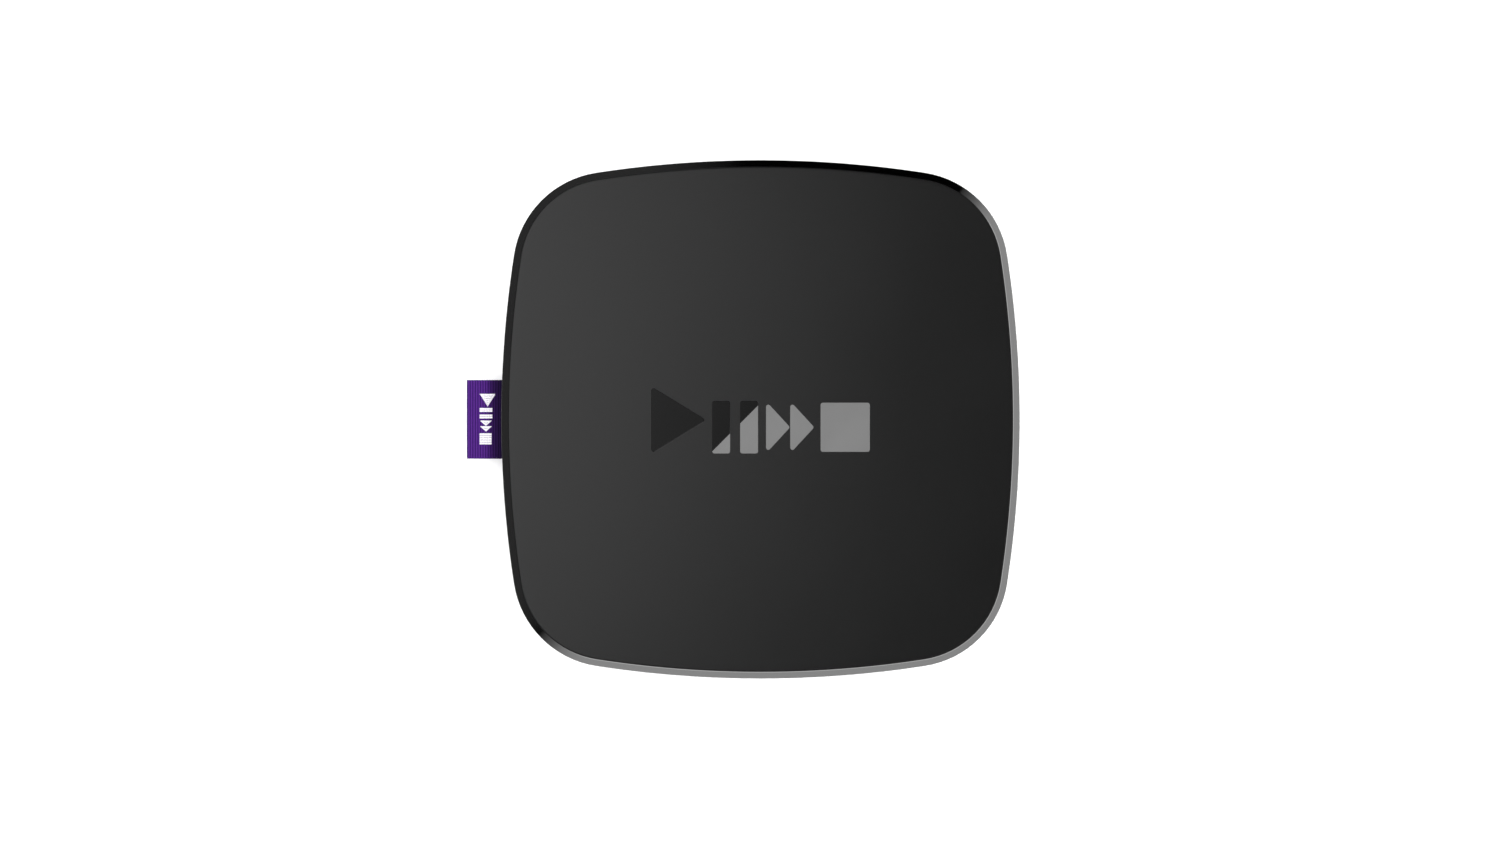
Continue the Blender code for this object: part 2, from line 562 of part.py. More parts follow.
# ---- finder button and its switch -------------------------------------------------
finder_switch = place("finder_switch", block((49.6, FINDER_Y - 3.1, ON_BOARD), (53.3, FINDER_Y + 3.1, ON_BOARD + 7.0), 0.25), CONNECTOR_BLACK)
cut(finder_switch, bar(1.9, (51.8, FINDER_Y, FINDER_Z), (56.0, FINDER_Y, FINDER_Z), 12))
place("finder_plunger", bar(1.5, (52.9, FINDER_Y, FINDER_Z), (55.3, FINDER_Y, FINDER_Z), 12, 0.2), LED_WHITE)

# The cap's face leans with the flank; its flange keeps it behind the wall.
lean = 1.5 * TAPER * ((RIDGE_Z - FINDER_Z) / (RIDGE_Z - COVER_FOOT_Z)) ** 0.5 / (RIDGE_Z - COVER_FOOT_Z)
face_x = BODY_HALF - flank_inset(FINDER_Z) - FINDER_Y ** 2 / (2 * R_SIDE) + 0.55
pill, flange, stem = rectangle(9.8, 5.8, 2.89, 4), rectangle(12.4, 8.0, 3.99, 4), rectangle(3.0, 3.0, 1.49, 4)
small_pill = rectangle(9.0, 5.0, 2.49, 4)


def cap_ring(shape, x, slope=0.0):
    return [(x + slope * b, FINDER_Y + a, FINDER_Z + b) for a, b in shape]


place(
    "finder_button",
    loft([
        cap_ring(stem, 55.6),
        cap_ring(stem, 56.9),
        cap_ring(flange, 56.9),
        cap_ring(flange, 57.8),
        cap_ring(pill, 57.8),
        cap_ring(pill, face_x - 0.4, lean),
        cap_ring(small_pill, face_x, lean),
    ]),
    COVER_BLACK,
)

# ---- front light and infra-red receiver ---------------------------------------------
place("status_led", block((-1.5, -49.0, ON_BOARD), (1.5, -47.6, ON_BOARD + 1.6), 0.1), LED_WHITE)
pipe_end = -(BODY_HALF - flank_inset(LIGHT_Z)) - 0.05
place("light_pipe", bar(1.0, (0, -49.4, LIGHT_Z), (0, pipe_end, LIGHT_Z), 12, 0.15), CLEAR)
ir_receiver = place("ir_receiver", block((8.0, -49.2, ON_BOARD), (13.4, -45.6, ON_BOARD + 5.6), 0.3), IR_DARK)
add(ir_receiver, bar(1.8, (10.7, -50.6, ON_BOARD + 3.2), (10.7, -47.0, ON_BOARD + 3.2), 12, 0.5))

# ---- network transformer and bulk capacitors -----------------------------------------
place("network_transformer", block((-26.0, 26.0, ON_BOARD), (-11.0, 37.5, ON_BOARD + 5.0), 0.4), CHIP_BLACK)
for label, x, y in (("1", 25.8, 40.6), ("2", 25.8, 32.8)):
    place("bulk_capacitor_" + label, bar(3.1, (x, y, ON_BOARD), (x, y, ON_BOARD + 6.0), 16, 0.3), CAP_SLEEVE)
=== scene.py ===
"""Looks of a streaming media player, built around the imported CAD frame.

Shapes are drawn in millimetres in the CAD's own frame (origin at the middle of the
underside, +X to the socket side, -X to the woven tag, +Y to the port bay, +Z up)
and scaled to metres as each mesh is written.
"""

import math

import bmesh
import bpy
from mathutils import Matrix, Vector


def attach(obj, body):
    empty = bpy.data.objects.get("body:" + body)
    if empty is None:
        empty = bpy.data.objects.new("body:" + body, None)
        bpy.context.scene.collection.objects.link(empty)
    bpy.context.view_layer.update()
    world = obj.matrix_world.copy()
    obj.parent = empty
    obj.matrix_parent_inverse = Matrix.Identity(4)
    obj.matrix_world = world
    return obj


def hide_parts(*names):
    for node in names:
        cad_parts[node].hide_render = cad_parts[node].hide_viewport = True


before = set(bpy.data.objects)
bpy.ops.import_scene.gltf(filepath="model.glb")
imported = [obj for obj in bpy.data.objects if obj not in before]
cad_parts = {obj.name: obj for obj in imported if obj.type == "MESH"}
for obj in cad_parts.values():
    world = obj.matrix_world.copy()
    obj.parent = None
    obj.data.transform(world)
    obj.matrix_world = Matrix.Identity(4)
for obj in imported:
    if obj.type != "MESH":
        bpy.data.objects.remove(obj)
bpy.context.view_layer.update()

MM = 0.001
HOUSING = "housing"

# ---- driving dimensions, the same as the CAD's --------------------------------
BODY_HALF, R_SIDE, R_CORNER = 62.25, 259.6, 23.55
BODY_TOP, TOP_EDGE_Z, RIM = 21.5, 21.15, 1.8
RIM_DROP = 1.30
RIDGE_Z, COVER_FOOT_Z, TAPER, ROOF_Z = 17.8, 4.5, 2.0, 19.6
PAD_T, PAD_INSET, FLOOR_Z = 1.2, 8.8, 3.0
ON_BOARD = 7.3
PANEL_Y, PANEL_T, PANEL_HALF, PANEL_TOP = 56.4, 1.6, 39.2, 19.1
MOUTH_Y, BAY_HALF, BAY_TOP = 56.1, 39.5, 19.4
BOSS_XY = 43.5
BOARD_SCREWS = ((-23, -34), (37, -34), (-23, 19), (37, 19))
DC_X, RESET_X, HDMI_X, CARD_X, LAN_X, OPTIC_X = 34.0, 26.6, 14.6, -2.2, -18.4, -32.2
DC_Z, RESET_Z = 13.6, 9.1
USB_Y, FINDER_Y, FINDER_Z, LIGHT_Z = 14.0, -14.0, 11.4, 8.4
TAG_W, TAG_OUT, TAG_Z, TAG_T = 19.1, 71.05, 10.4, 1.1


# =================================================================================
# Geometry helpers
# =================================================================================
def outline(inset, z, side_steps=12, corner_steps=16):
    """The body's outline drawn in by inset: bowed sides, round corners, parallel at every inset."""
    side_x = BODY_HALF - R_SIDE
    reach = R_SIDE - R_CORNER
    corner = (side_x + math.sqrt(2 * reach * reach - side_x * side_x)) / 2
    turn = math.atan2(corner, corner - side_x)
    points = []
    for quarter in range(4):
        local = []
        for i in range(side_steps):
            a = turn * i / side_steps
            local.append((side_x + (R_SIDE - inset) * math.cos(a), (R_SIDE - inset) * math.sin(a)))
        for i in range(corner_steps + 1):
            a = turn + (math.pi / 2 - 2 * turn) * i / corner_steps
            local.append((corner + (R_CORNER - inset) * math.cos(a), corner + (R_CORNER - inset) * math.sin(a)))
        for i in range(side_steps - 1, 0, -1):
            a = turn * i / side_steps
            local.append(((R_SIDE - inset) * math.sin(a), side_x + (R_SIDE - inset) * math.cos(a)))
        c, s = math.cos(quarter * math.pi / 2), math.sin(quarter * math.pi / 2)
        points += [(c * x - s * y, s * x + c * y, z) for x, y in local]
    return points


def flank_inset(z):
    t = max(0.0, (RIDGE_Z - z) / (RIDGE_Z - COVER_FOOT_Z))
    return TAPER * t ** 1.5


def side_x_at(y, inset):
    """x of the right-hand side's outline at y."""
    return BODY_HALF - R_SIDE + math.sqrt((R_SIDE - inset) ** 2 - y * y)


def crown(share, inset=RIM):
    """Ring of the lid at a share of its half-width, on the shallow crown."""
    z = BODY_TOP - (BODY_TOP - TOP_EDGE_Z) * share * share
    return [(x * share, y * share, z) for x, y, _ in outline(inset, 0)]


def loft(rings, close_start=True, close_end=True, wrap=False):
    """A bmesh through rings of equal count."""
    builder = bmesh.new()
    grid = [[builder.verts.new(Vector(p)) for p in ring] for ring in rings]
    count = len(grid[0])
    pairs = list(zip(grid, grid[1:]))
    if wrap:
        pairs.append((grid[-1], grid[0]))
    for low, high in pairs:
        for i in range(count):
            j = (i + 1) % count
            builder.faces.new((low[i], low[j], high[j], high[i]))
    if close_start and not wrap:
        builder.faces.new(list(reversed(grid[0])))
    if close_end and not wrap:
        builder.faces.new(grid[-1])
    return builder


def ring_of(shape, origin, u, v):
    o, u, v = Vector(origin), Vector(u), Vector(v)
    return [o + u * a + v * b for a, b in shape]


def rectangle(width, height, radius=0.0, steps=4):
    if radius <= 0:
        return [(-width / 2, -height / 2), (width / 2, -height / 2), (width / 2, height / 2), (-width / 2, height / 2)]
    points = []
    for cx, cy, start in ((1, 1, 0), (-1, 1, 90), (-1, -1, 180), (1, -1, 270)):
        for i in range(steps + 1):
            a = math.radians(start + 90 * i / steps)
            points.append((cx * (width / 2 - radius) + radius * math.cos(a), cy * (height / 2 - radius) + radius * math.sin(a)))
    return points


def circle(radius, count=32):
    return [(radius * math.cos(2 * math.pi * i / count), radius * math.sin(2 * math.pi * i / count)) for i in range(count)]


def block(low, high, bevel=0.0, segments=2):
    builder = bmesh.new()
    bmesh.ops.create_cube(builder, size=1.0)
    for vertex in builder.verts:
        vertex.co = Vector([low[k] if vertex.co[k] < 0 else high[k] for k in range(3)])
    if bevel:
        bmesh.ops.bevel(builder, geom=builder.edges[:], offset=bevel, segments=segments, profile=0.5, affect="EDGES")
    return builder


def turned(profile, origin, along, count=32):
    """Solid of revolution. profile holds (radius, distance along); both ends are capped."""
    along = Vector(along)
    u = Vector((0, 0, 1)) if abs(along.z) < 0.5 else Vector((1, 0, 0))
    v = along.cross(u)
    return loft([ring_of(circle(r, count), Vector(origin) + along * s, u, v) for r, s in profile])


def stack(shapes, origin, u, v, w):
    """Solid through 2-D shapes given as (shape, distance along w)."""
    origin, w = Vector(origin), Vector(w)
    return loft([ring_of(shape, origin + w * s, u, v) for shape, s in shapes])


def join(*builders):
    """Several bmeshes made one, as separate islands."""
    whole = bmesh.new()
    for builder in builders:
        bmesh.ops.recalc_face_normals(builder, faces=builder.faces[:])
        data = bpy.data.meshes.new("island")
        builder.to_mesh(data)
        builder.free()
        whole.from_mesh(data)
        bpy.data.meshes.remove(data)
    return whole


def rounded(points, radius, steps=5):
    """A polygon with its corners rounded."""
    out = []
    count = len(points)
    for i in range(count):
        before, here, after = Vector(points[i - 1]), Vector(points[i]), Vector(points[(i + 1) % count])
        a, b = (before - here).normalized(), (after - here).normalized()
        half = math.acos(max(-1, min(1, a.dot(b)))) / 2
        back = radius / math.tan(half)
        centre = here + (a + b).normalized() * (radius / math.sin(half))
        start, end = here + a * back - centre, here + b * back - centre
        sweep = math.atan2(start.x * end.y - start.y * end.x, start.dot(end))
        first = math.atan2(start.y, start.x)
        for k in range(steps + 1):
            t = first + sweep * k / steps
            out.append((centre.x + radius * math.cos(t), centre.y + radius * math.sin(t)))
    return out


def between(a, b, t):
    """The outline a share t of the way from a to b."""
    return [(x + (p - x) * t, y + (q - y) * t) for (x, y), (p, q) in zip(a, b)]


def video_shape(width, height, slope):
    """Type A video receptacle: a rectangle whose two lower corners are drawn in."""
    w, h = width / 2, height / 2
    return [(-w, h), (-w, -h + slope * 1.3), (-w + slope, -h), (w - slope, -h), (w, -h + slope * 1.3), (w, h)]


def sheet_socket(outer, inner, origin, u, v, w, depth, hollow, lip=0.09):
    """Open box folded from sheet, its rim rounded over, with a blind cavity."""
    profile = [(outer, -depth), (outer, -lip), (between(outer, inner, 0.15), -lip * 0.35), (between(outer, inner, 0.5), 0.0),
               (between(outer, inner, 0.85), -lip * 0.35), (inner, -lip), (inner, -hollow)]
    return stack(profile, origin, u, v, w)


def piece(name, builder, paint, smooth=32.0, recalc=True):
    """A named object from a bmesh in millimetres, not yet riding on anything."""
    if recalc:
        bmesh.ops.recalc_face_normals(builder, faces=builder.faces[:])
    bmesh.ops.scale(builder, vec=(MM, MM, MM), verts=builder.verts[:])
    data = bpy.data.meshes.new(name)
    builder.to_mesh(data)
    builder.free()
    made = bpy.data.objects.new(name, data)
    bpy.context.scene.collection.objects.link(made)
    if paint is not None:
        data.materials.append(paint)
    if smooth:
        data.shade_smooth()
        data.set_sharp_from_angle(angle=math.radians(smooth))
    return made


def settle(made, smooth=32.0):
    """Applies the modifiers of an object and shades it again."""
    bpy.context.view_layer.update()
    graph = bpy.context.evaluated_depsgraph_get()
    result = bpy.data.meshes.new_from_object(made.evaluated_get(graph))
    old = made.data
    made.modifiers.clear()
    made.data = result
    result.name = made.name
    bpy.data.meshes.remove(old)
    result.shade_smooth()
    result.set_sharp_from_angle(angle=math.radians(smooth))
    return made


def combine(target, builder, operation="DIFFERENCE"):
    tool = piece(target.name + "_tool", builder, None, smooth=0)
    step = target.modifiers.new("join", "BOOLEAN")
    step.object, step.operation, step.solver = tool, operation, "EXACT"
    settle(target)
    spent = tool.data
    bpy.data.objects.remove(tool, do_unlink=True)
    bpy.data.meshes.remove(spent)
    return target


def ease(target, width, angle=40.0, segments=2, smooth=32.0):
    """Rounds the crisp edges that the Booleans left."""
    step = target.modifiers.new("ease", "BEVEL")
    step.width, step.segments, step.limit_method = width * MM, segments, "ANGLE"
    step.angle_limit, step.use_clamp_overlap, step.profile = math.radians(angle), True, 0.5
    step.miter_outer = "MITER_ARC"
    return settle(target, smooth)


def fit(made, body=HOUSING, replaces=()):
    """Rides on a body and stands for CAD nodes."""
    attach(made, body)
    if replaces:
        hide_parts(*replaces)
    return made


REAR = ((1, 0, 0), (0, 0, 1), (0, 1, 0))
RIGHT = ((0, 1, 0), (0, 0, 1), (1, 0, 0))


# =================================================================================
# Materials
# =================================================================================
def material(name, colour, roughness, metallic=0.0):
    made = bpy.data.materials.new(name)
    made.use_nodes = True
    shader = made.node_tree.nodes["Principled BSDF"]
    shader.inputs["Base Color"].default_value = (*colour, 1.0)
    shader.inputs["Roughness"].default_value = roughness
    shader.inputs["Metallic"].default_value = metallic
    made.diffuse_color = (*colour, 1.0)
    return made, made.node_tree, shader


def node(tree, kind, **values):
    made = tree.nodes.new(kind)
    for key, value in values.items():
        if key in made.inputs:
            made.inputs[key].default_value = value
        else:
            setattr(made, key, value)
    return made


def coordinates(tree, scale=(1, 1, 1), rotation=(0, 0, 0), location=(0, 0, 0)):
    """Object coordinates, in metres, scaled for the textures."""
    source = node(tree, "ShaderNodeTexCoord")
    mapping = node(tree, "ShaderNodeMapping")
    mapping.inputs["Scale"].default_value = scale
    mapping.inputs["Rotation"].default_value = rotation
    mapping.inputs["Location"].default_value = location
    tree.links.new(source.outputs["Object"], mapping.inputs["Vector"])
    return mapping.outputs["Vector"]


def noise(tree, vector, scale, detail=2.0, roughness=0.5):
    made = node(tree, "ShaderNodeTexNoise")
    made.inputs["Scale"].default_value = scale
    made.inputs["Detail"].default_value = detail
    made.inputs["Roughness"].default_value = roughness
    tree.links.new(vector, made.inputs["Vector"])
    return made.outputs["Fac"]


def spread(tree, value, low, high, from_low=0.0, from_high=1.0, smooth=False):
    made = node(tree, "ShaderNodeMapRange")
    if smooth:
        made.interpolation_type = "SMOOTHSTEP"
    made.inputs["From Min"].default_value = from_low
    made.inputs["From Max"].default_value = from_high
    made.inputs["To Min"].default_value = low
    made.inputs["To Max"].default_value = high
    tree.links.new(value, made.inputs["Value"])
    return made.outputs["Result"]


def ramp(tree, value, stops):
    made = node(tree, "ShaderNodeValToRGB")
    elements = made.color_ramp.elements
    while len(elements) < len(stops):
        elements.new(0.5)
    for element, (place, colour) in zip(elements, stops):
        element.position = place
        element.color = (*colour, 1.0)
    tree.links.new(value, made.inputs["Fac"])
    return made.outputs["Color"]


def maths(tree, operation, a, b=None):
    made = node(tree, "ShaderNodeMath", operation=operation)
    for i, value in enumerate((a, b)):
        if value is None:
            continue
        if isinstance(value, (int, float)):
            made.inputs[i].default_value = value
        else:
            tree.links.new(value, made.inputs[i])
    return made.outputs["Value"]


def mix(tree, factor, a, b, blend="MIX"):
    made = node(tree, "ShaderNodeMix", data_type="RGBA", blend_type=blend)
    if isinstance(factor, (int, float)):
        made.inputs[0].default_value = factor
    else:
        tree.links.new(factor, made.inputs[0])
    for slot, value in ((6, a), (7, b)):
        if isinstance(value, tuple):
            made.inputs[slot].default_value = (*value, 1.0)
        else:
            tree.links.new(value, made.inputs[slot])
    return made.outputs[2]


def bump(tree, shader, height, depth_mm, strength=1.0, before=None):
    """Bump whose depth is given in millimetres."""
    made = node(tree, "ShaderNodeBump")
    made.inputs["Strength"].default_value = strength
    made.inputs["Distance"].default_value = depth_mm * MM
    tree.links.new(height, made.inputs["Height"])
    if before is not None:
        tree.links.new(before, made.inputs["Normal"])
    tree.links.new(made.outputs["Normal"], shader.inputs["Normal"])
    return made.outputs["Normal"]


def moulded(name, colour, roughness, grain_mm=0.35, grain_depth=0.006, spread_rough=0.05, lift=1.35, specular=0.5):
    """Moulded plastic with a spark-eroded grain and slightly uneven tone and sheen."""
    made, tree, shader = material(name, colour, roughness)
    here = coordinates(tree)
    broad = noise(tree, here, 38.0, 3.0)
    fine = noise(tree, here, 1000.0 / grain_mm, 3.0, 0.6)
    dark = tuple(c * (2 - lift) for c in colour)
    light = tuple(c * lift for c in colour)
    tree.links.new(ramp(tree, broad, [(0.3, dark), (0.7, light)]), shader.inputs["Base Color"])
    both = maths(tree, "ADD", maths(tree, "MULTIPLY", broad, 0.6), maths(tree, "MULTIPLY", fine, 0.4))
    tree.links.new(spread(tree, both, roughness - spread_rough, roughness + spread_rough, 0.3, 0.7), shader.inputs["Roughness"])
    shader.inputs["Specular IOR Level"].default_value = specular
    bump(tree, shader, fine, grain_depth)
    return made


def glossy(name, colour, roughness=0.07, coat=0.0, ior=1.5):
    """Polished plastic: a trace of orange peel, handling marks that only alter its sheen."""
    made, tree, shader = material(name, colour, roughness)
    here = coordinates(tree)
    broad = noise(tree, here, 90.0, 2.0)
    marks = noise(tree, coordinates(tree, (1, 1, 3), (0, 0, 0.6)), 420.0, 5.0, 0.65)
    tree.links.new(spread(tree, marks, roughness * 0.96, roughness * 1.06, 0.35, 0.75), shader.inputs["Roughness"])
    tree.links.new(ramp(tree, broad, [(0.3, tuple(c * 0.95 for c in colour)), (0.7, tuple(c * 1.05 for c in colour))]), shader.inputs["Base Color"])
    shader.inputs["IOR"].default_value = ior
    if coat:
        shader.inputs["Coat Weight"].default_value = coat
        shader.inputs["Coat Roughness"].default_value = roughness
    bump(tree, shader, broad, 0.001)
    return made


def metal(name, colour, roughness, grain=(900, 900, 900), depth=0.003, tint=0.12, anisotropic=0.0):
    """Sheet or turned metal with directional fine marks."""
    made, tree, shader = material(name, colour, roughness, 1.0)
    marks = noise(tree, coordinates(tree, grain), 1.0, 3.0, 0.6)
    blotch = noise(tree, coordinates(tree), 220.0, 3.0)
    tree.links.new(ramp(tree, blotch, [(0.3, tuple(c * (1 - tint) for c in colour)), (0.7, tuple(min(1, c * (1 + tint)) for c in colour))]), shader.inputs["Base Color"])
    tree.links.new(spread(tree, marks, roughness * 0.88, roughness * 1.15, 0.3, 0.7), shader.inputs["Roughness"])
    bump(tree, shader, marks, depth)
    return made


LID_MATT = moulded("lid_satin_black", (0.0034, 0.0034, 0.0035), 0.40, 0.30, 0.004, 0.018, 1.06, 0.5)
RIM_GLOSS = glossy("rim_gloss_black", (0.0004, 0.0004, 0.0004), 0.05, ior=1.92)
FLANK_GLOSS = glossy("flank_gloss_black", (0.0016, 0.0016, 0.0017), 0.07)
WALL_INNER = moulded("inner_black", (0.016, 0.016, 0.017), 0.6)
GROOVE = moulded("groove_black", (0.004, 0.004, 0.004), 0.7)
BASE = moulded("base_matt_black", (0.017, 0.017, 0.018), 0.56, 0.45, 0.012)
PANEL = moulded("panel_matt_black", (0.014, 0.014, 0.015), 0.5, 0.35, 0.010)
KEY = moulded("key_black", (0.012, 0.012, 0.0125), 0.34, 0.30, 0.003)
CONNECTOR = moulded("connector_black", (0.010, 0.010, 0.0105), 0.38, 0.2, 0.003)
CHIP = moulded("chip_epoxy", (0.016, 0.016, 0.017), 0.48, 0.12, 0.003)
FERRITE = moulded("ferrite_grey", (0.075, 0.075, 0.080), 0.62, 0.2, 0.01)
WHITE_PLASTIC = moulded("white_nylon", (0.72, 0.72, 0.68), 0.42, 0.3, 0.003, 0.04, 1.03)
THERMAL = moulded("thermal_silicone", (0.26, 0.30, 0.34), 0.82, 0.25, 0.01, 0.05, 1.08)
COAX = moulded("coax_jacket", (0.020, 0.020, 0.022), 0.5, 0.2, 0.003)
TINNED = metal("tinned_sheet", (0.52, 0.52, 0.505), 0.30, (500, 3600, 500), 0.0002, 0.025)
ALUMINIUM = metal("satin_aluminium", (0.62, 0.63, 0.65), 0.36, (120, 4200, 120), 0.004, 0.05)
CAN = metal("drawn_can", (0.60, 0.61, 0.62), 0.24, (300, 300, 3800), 0.002, 0.05)
BRIGHT_STEEL = metal("nickel_plate", (0.60, 0.60, 0.61), 0.20, (1400, 1400, 1400), 0.002, 0.06)
BLACK_STEEL = metal("black_oxide", (0.05, 0.05, 0.053), 0.34, (1400, 1400, 1400), 0.003, 0.15)
GOLD = metal("gold_flash", (0.83, 0.56, 0.20), 0.22, (1400, 1400, 1400), 0.001, 0.08)


def soft_rubber():
    made, tree, shader = material("foot_rubber", (0.015, 0.015, 0.015), 0.86)
    here = coordinates(tree)
    fine = noise(tree, here, 4200.0, 4.0, 0.7)
    broad = noise(tree, here, 60.0, 3.0)
    tree.links.new(ramp(tree, broad, [(0.3, (0.0135, 0.0135, 0.0135)), (0.75, (0.0175, 0.0175, 0.0172))]), shader.inputs["Base Color"])
    tree.links.new(spread(tree, broad, 0.82, 0.90), shader.inputs["Roughness"])
    shader.inputs["Specular IOR Level"].default_value = 0.35
    bump(tree, shader, fine, 0.02)
    return made


def board_mask():
    """Solder mask over copper: traces and vias show as faint relief and lighter green."""
    made, tree, shader = material("board_green", (0.010, 0.075, 0.034), 0.30)
    here = coordinates(tree)
    tracks = node(tree, "ShaderNodeTexBrick")
    tracks.inputs["Scale"].default_value = 210.0
    tracks.inputs["Mortar Size"].default_value = 0.10
    tracks.inputs["Color1"].default_value = (0, 0, 0, 1)
    tracks.inputs["Color2"].default_value = (0, 0, 0, 1)
    tracks.inputs["Mortar"].default_value = (1, 1, 1, 1)
    tree.links.new(here, tracks.inputs["Vector"])
    vias = node(tree, "ShaderNodeTexVoronoi")
    vias.inputs["Scale"].default_value = 260.0
    tree.links.new(here, vias.inputs["Vector"])
    pads = spread(tree, vias.outputs["Distance"], 1.0, 0.0, 0.10, 0.14)
    copper = maths(tree, "MAXIMUM", tracks.outputs["Color"], pads)
    tree.links.new(mix(tree, copper, (0.008, 0.062, 0.028), (0.022, 0.135, 0.060)), shader.inputs["Base Color"])
    tree.links.new(spread(tree, noise(tree, here, 300.0), 0.24, 0.38), shader.inputs["Roughness"])
    bump(tree, shader, copper, 0.03)
    return made


def clear_resin(name, colour, roughness=0.08):
    made, tree, shader = material(name, colour, roughness)
    here = coordinates(tree)
    tree.links.new(spread(tree, noise(tree, here, 700.0), roughness * 0.7, roughness * 1.6), shader.inputs["Roughness"])
    shader.inputs["Transmission Weight"].default_value = 0.75
    shader.inputs["IOR"].default_value = 1.49
    return made


RUBBER = soft_rubber()
BOARD = board_mask()
CLEAR = clear_resin("clear_acrylic", (0.90, 0.91, 0.92))
IR_RESIN = clear_resin("ir_epoxy", (0.045, 0.012, 0.05), 0.12)


# =================================================================================
# Camera, floor and lights
# =================================================================================
scene = bpy.context.scene
scene.view_settings.view_transform = "Standard"

camera_data = bpy.data.cameras.new("camera")
camera_data.sensor_width = 36.0
camera_data.lens = 150.0
camera = bpy.data.objects.new("camera", camera_data)
scene.collection.objects.link(camera)
scene.camera = camera
VIEW_W = 0.35985         # width of the view at the lid, in metres
distance = VIEW_W * camera_data.lens / camera_data.sensor_width
camera.location = (-0.00253, -0.00064, TOP_EDGE_Z * MM + distance)
camera_data.clip_end = 50.0

floor_builder = bmesh.new()
bmesh.ops.create_circle(floor_builder, cap_ends=True, segments=96, radius=4000.0)
floor = piece("floor", floor_builder, None, smooth=0)
floor.location.z = -0.0001
floor_paint, floor_tree, floor_shader = material("floor_paint", (0.94, 0.94, 0.94), 0.85)
floor_shader.inputs["Specular IOR Level"].default_value = 0.0
# A table lit a little from within, as for product shots on white.
floor_shader.inputs["Emission Color"].default_value = (1.0, 1.0, 1.0, 1.0)
floor_shader.inputs["Emission Strength"].default_value = 0.15
floor_tree.links.new(
    ramp(floor_tree, noise(floor_tree, coordinates(floor_tree), 6.0, 3.0), [(0.3, (0.93, 0.93, 0.932)), (0.7, (0.95, 0.95, 0.948))]),
    floor_shader.inputs["Base Color"],
)
floor.data.materials.append(floor_paint)

world = bpy.data.worlds.new("studio")
scene.world = world
world.use_nodes = True
world.node_tree.nodes["Background"].inputs["Color"].default_value = (1.0, 1.0, 1.0, 1.0)
world.node_tree.nodes["Background"].inputs["Strength"].default_value = 1.0


def softbox(name, place, target, width, height, power, glossy_rays=True):
    data = bpy.data.lights.new(name, "AREA")
    data.shape, data.size, data.size_y, data.energy = "RECTANGLE", width, height, power
    made = bpy.data.objects.new(name, data)
    scene.collection.objects.link(made)
    made.location = place
    made.rotation_mode = "QUATERNION"
    made.rotation_quaternion = (Vector(target) - Vector(place)).to_track_quat("-Z", "Y")
    made.visible_camera = False
    made.visible_glossy = glossy_rays
    return made


softbox("key_softbox", (0.05, 0.05, 1.1), (0, 0, 0), 1.0, 1.0, 18.0, glossy_rays=False)


def studio_card(name, builder, strength_of):
    """Something that only polished surfaces see. strength_of(tree, object coordinates) gives its brightness."""
    data = bpy.data.meshes.new(name)
    builder.to_mesh(data)
    builder.free()
    made = bpy.data.objects.new(name, data)
    scene.collection.objects.link(made)
    paint = bpy.data.materials.new(name + "_paint")
    paint.use_nodes = True
    tree = paint.node_tree
    tree.nodes.clear()
    out = tree.nodes.new("ShaderNodeOutputMaterial")
    glow = tree.nodes.new("ShaderNodeEmission")
    where = tree.nodes.new("ShaderNodeTexCoord")
    tree.links.new(strength_of(tree, where.outputs["Object"]), glow.inputs["Strength"])
    tree.links.new(glow.outputs["Emission"], out.inputs["Surface"])
    data.materials.append(paint)
    made.visible_camera = made.visible_diffuse = made.visible_shadow = False
    made.visible_transmission = made.visible_volume_scatter = False
    return made


WALL_R = 0.6


def degrees_ramp(tree, azimuth, stops):
    """Brightness round the compass. azimuth is 0 to 1 from -180 to 180 degrees."""
    made = node(tree, "ShaderNodeValToRGB")
    elements = made.color_ramp.elements
    while len(elements) < len(stops):
        elements.new(0.5)
    for element, (angle, value) in zip(elements, stops):
        element.position = (angle + 180.0) / 360.0
        element.color = (value / 4, value / 4, value / 4, 1.0)
    tree.links.new(azimuth, made.inputs["Fac"])
    return maths(tree, "MULTIPLY", made.outputs["Color"], 4.0)


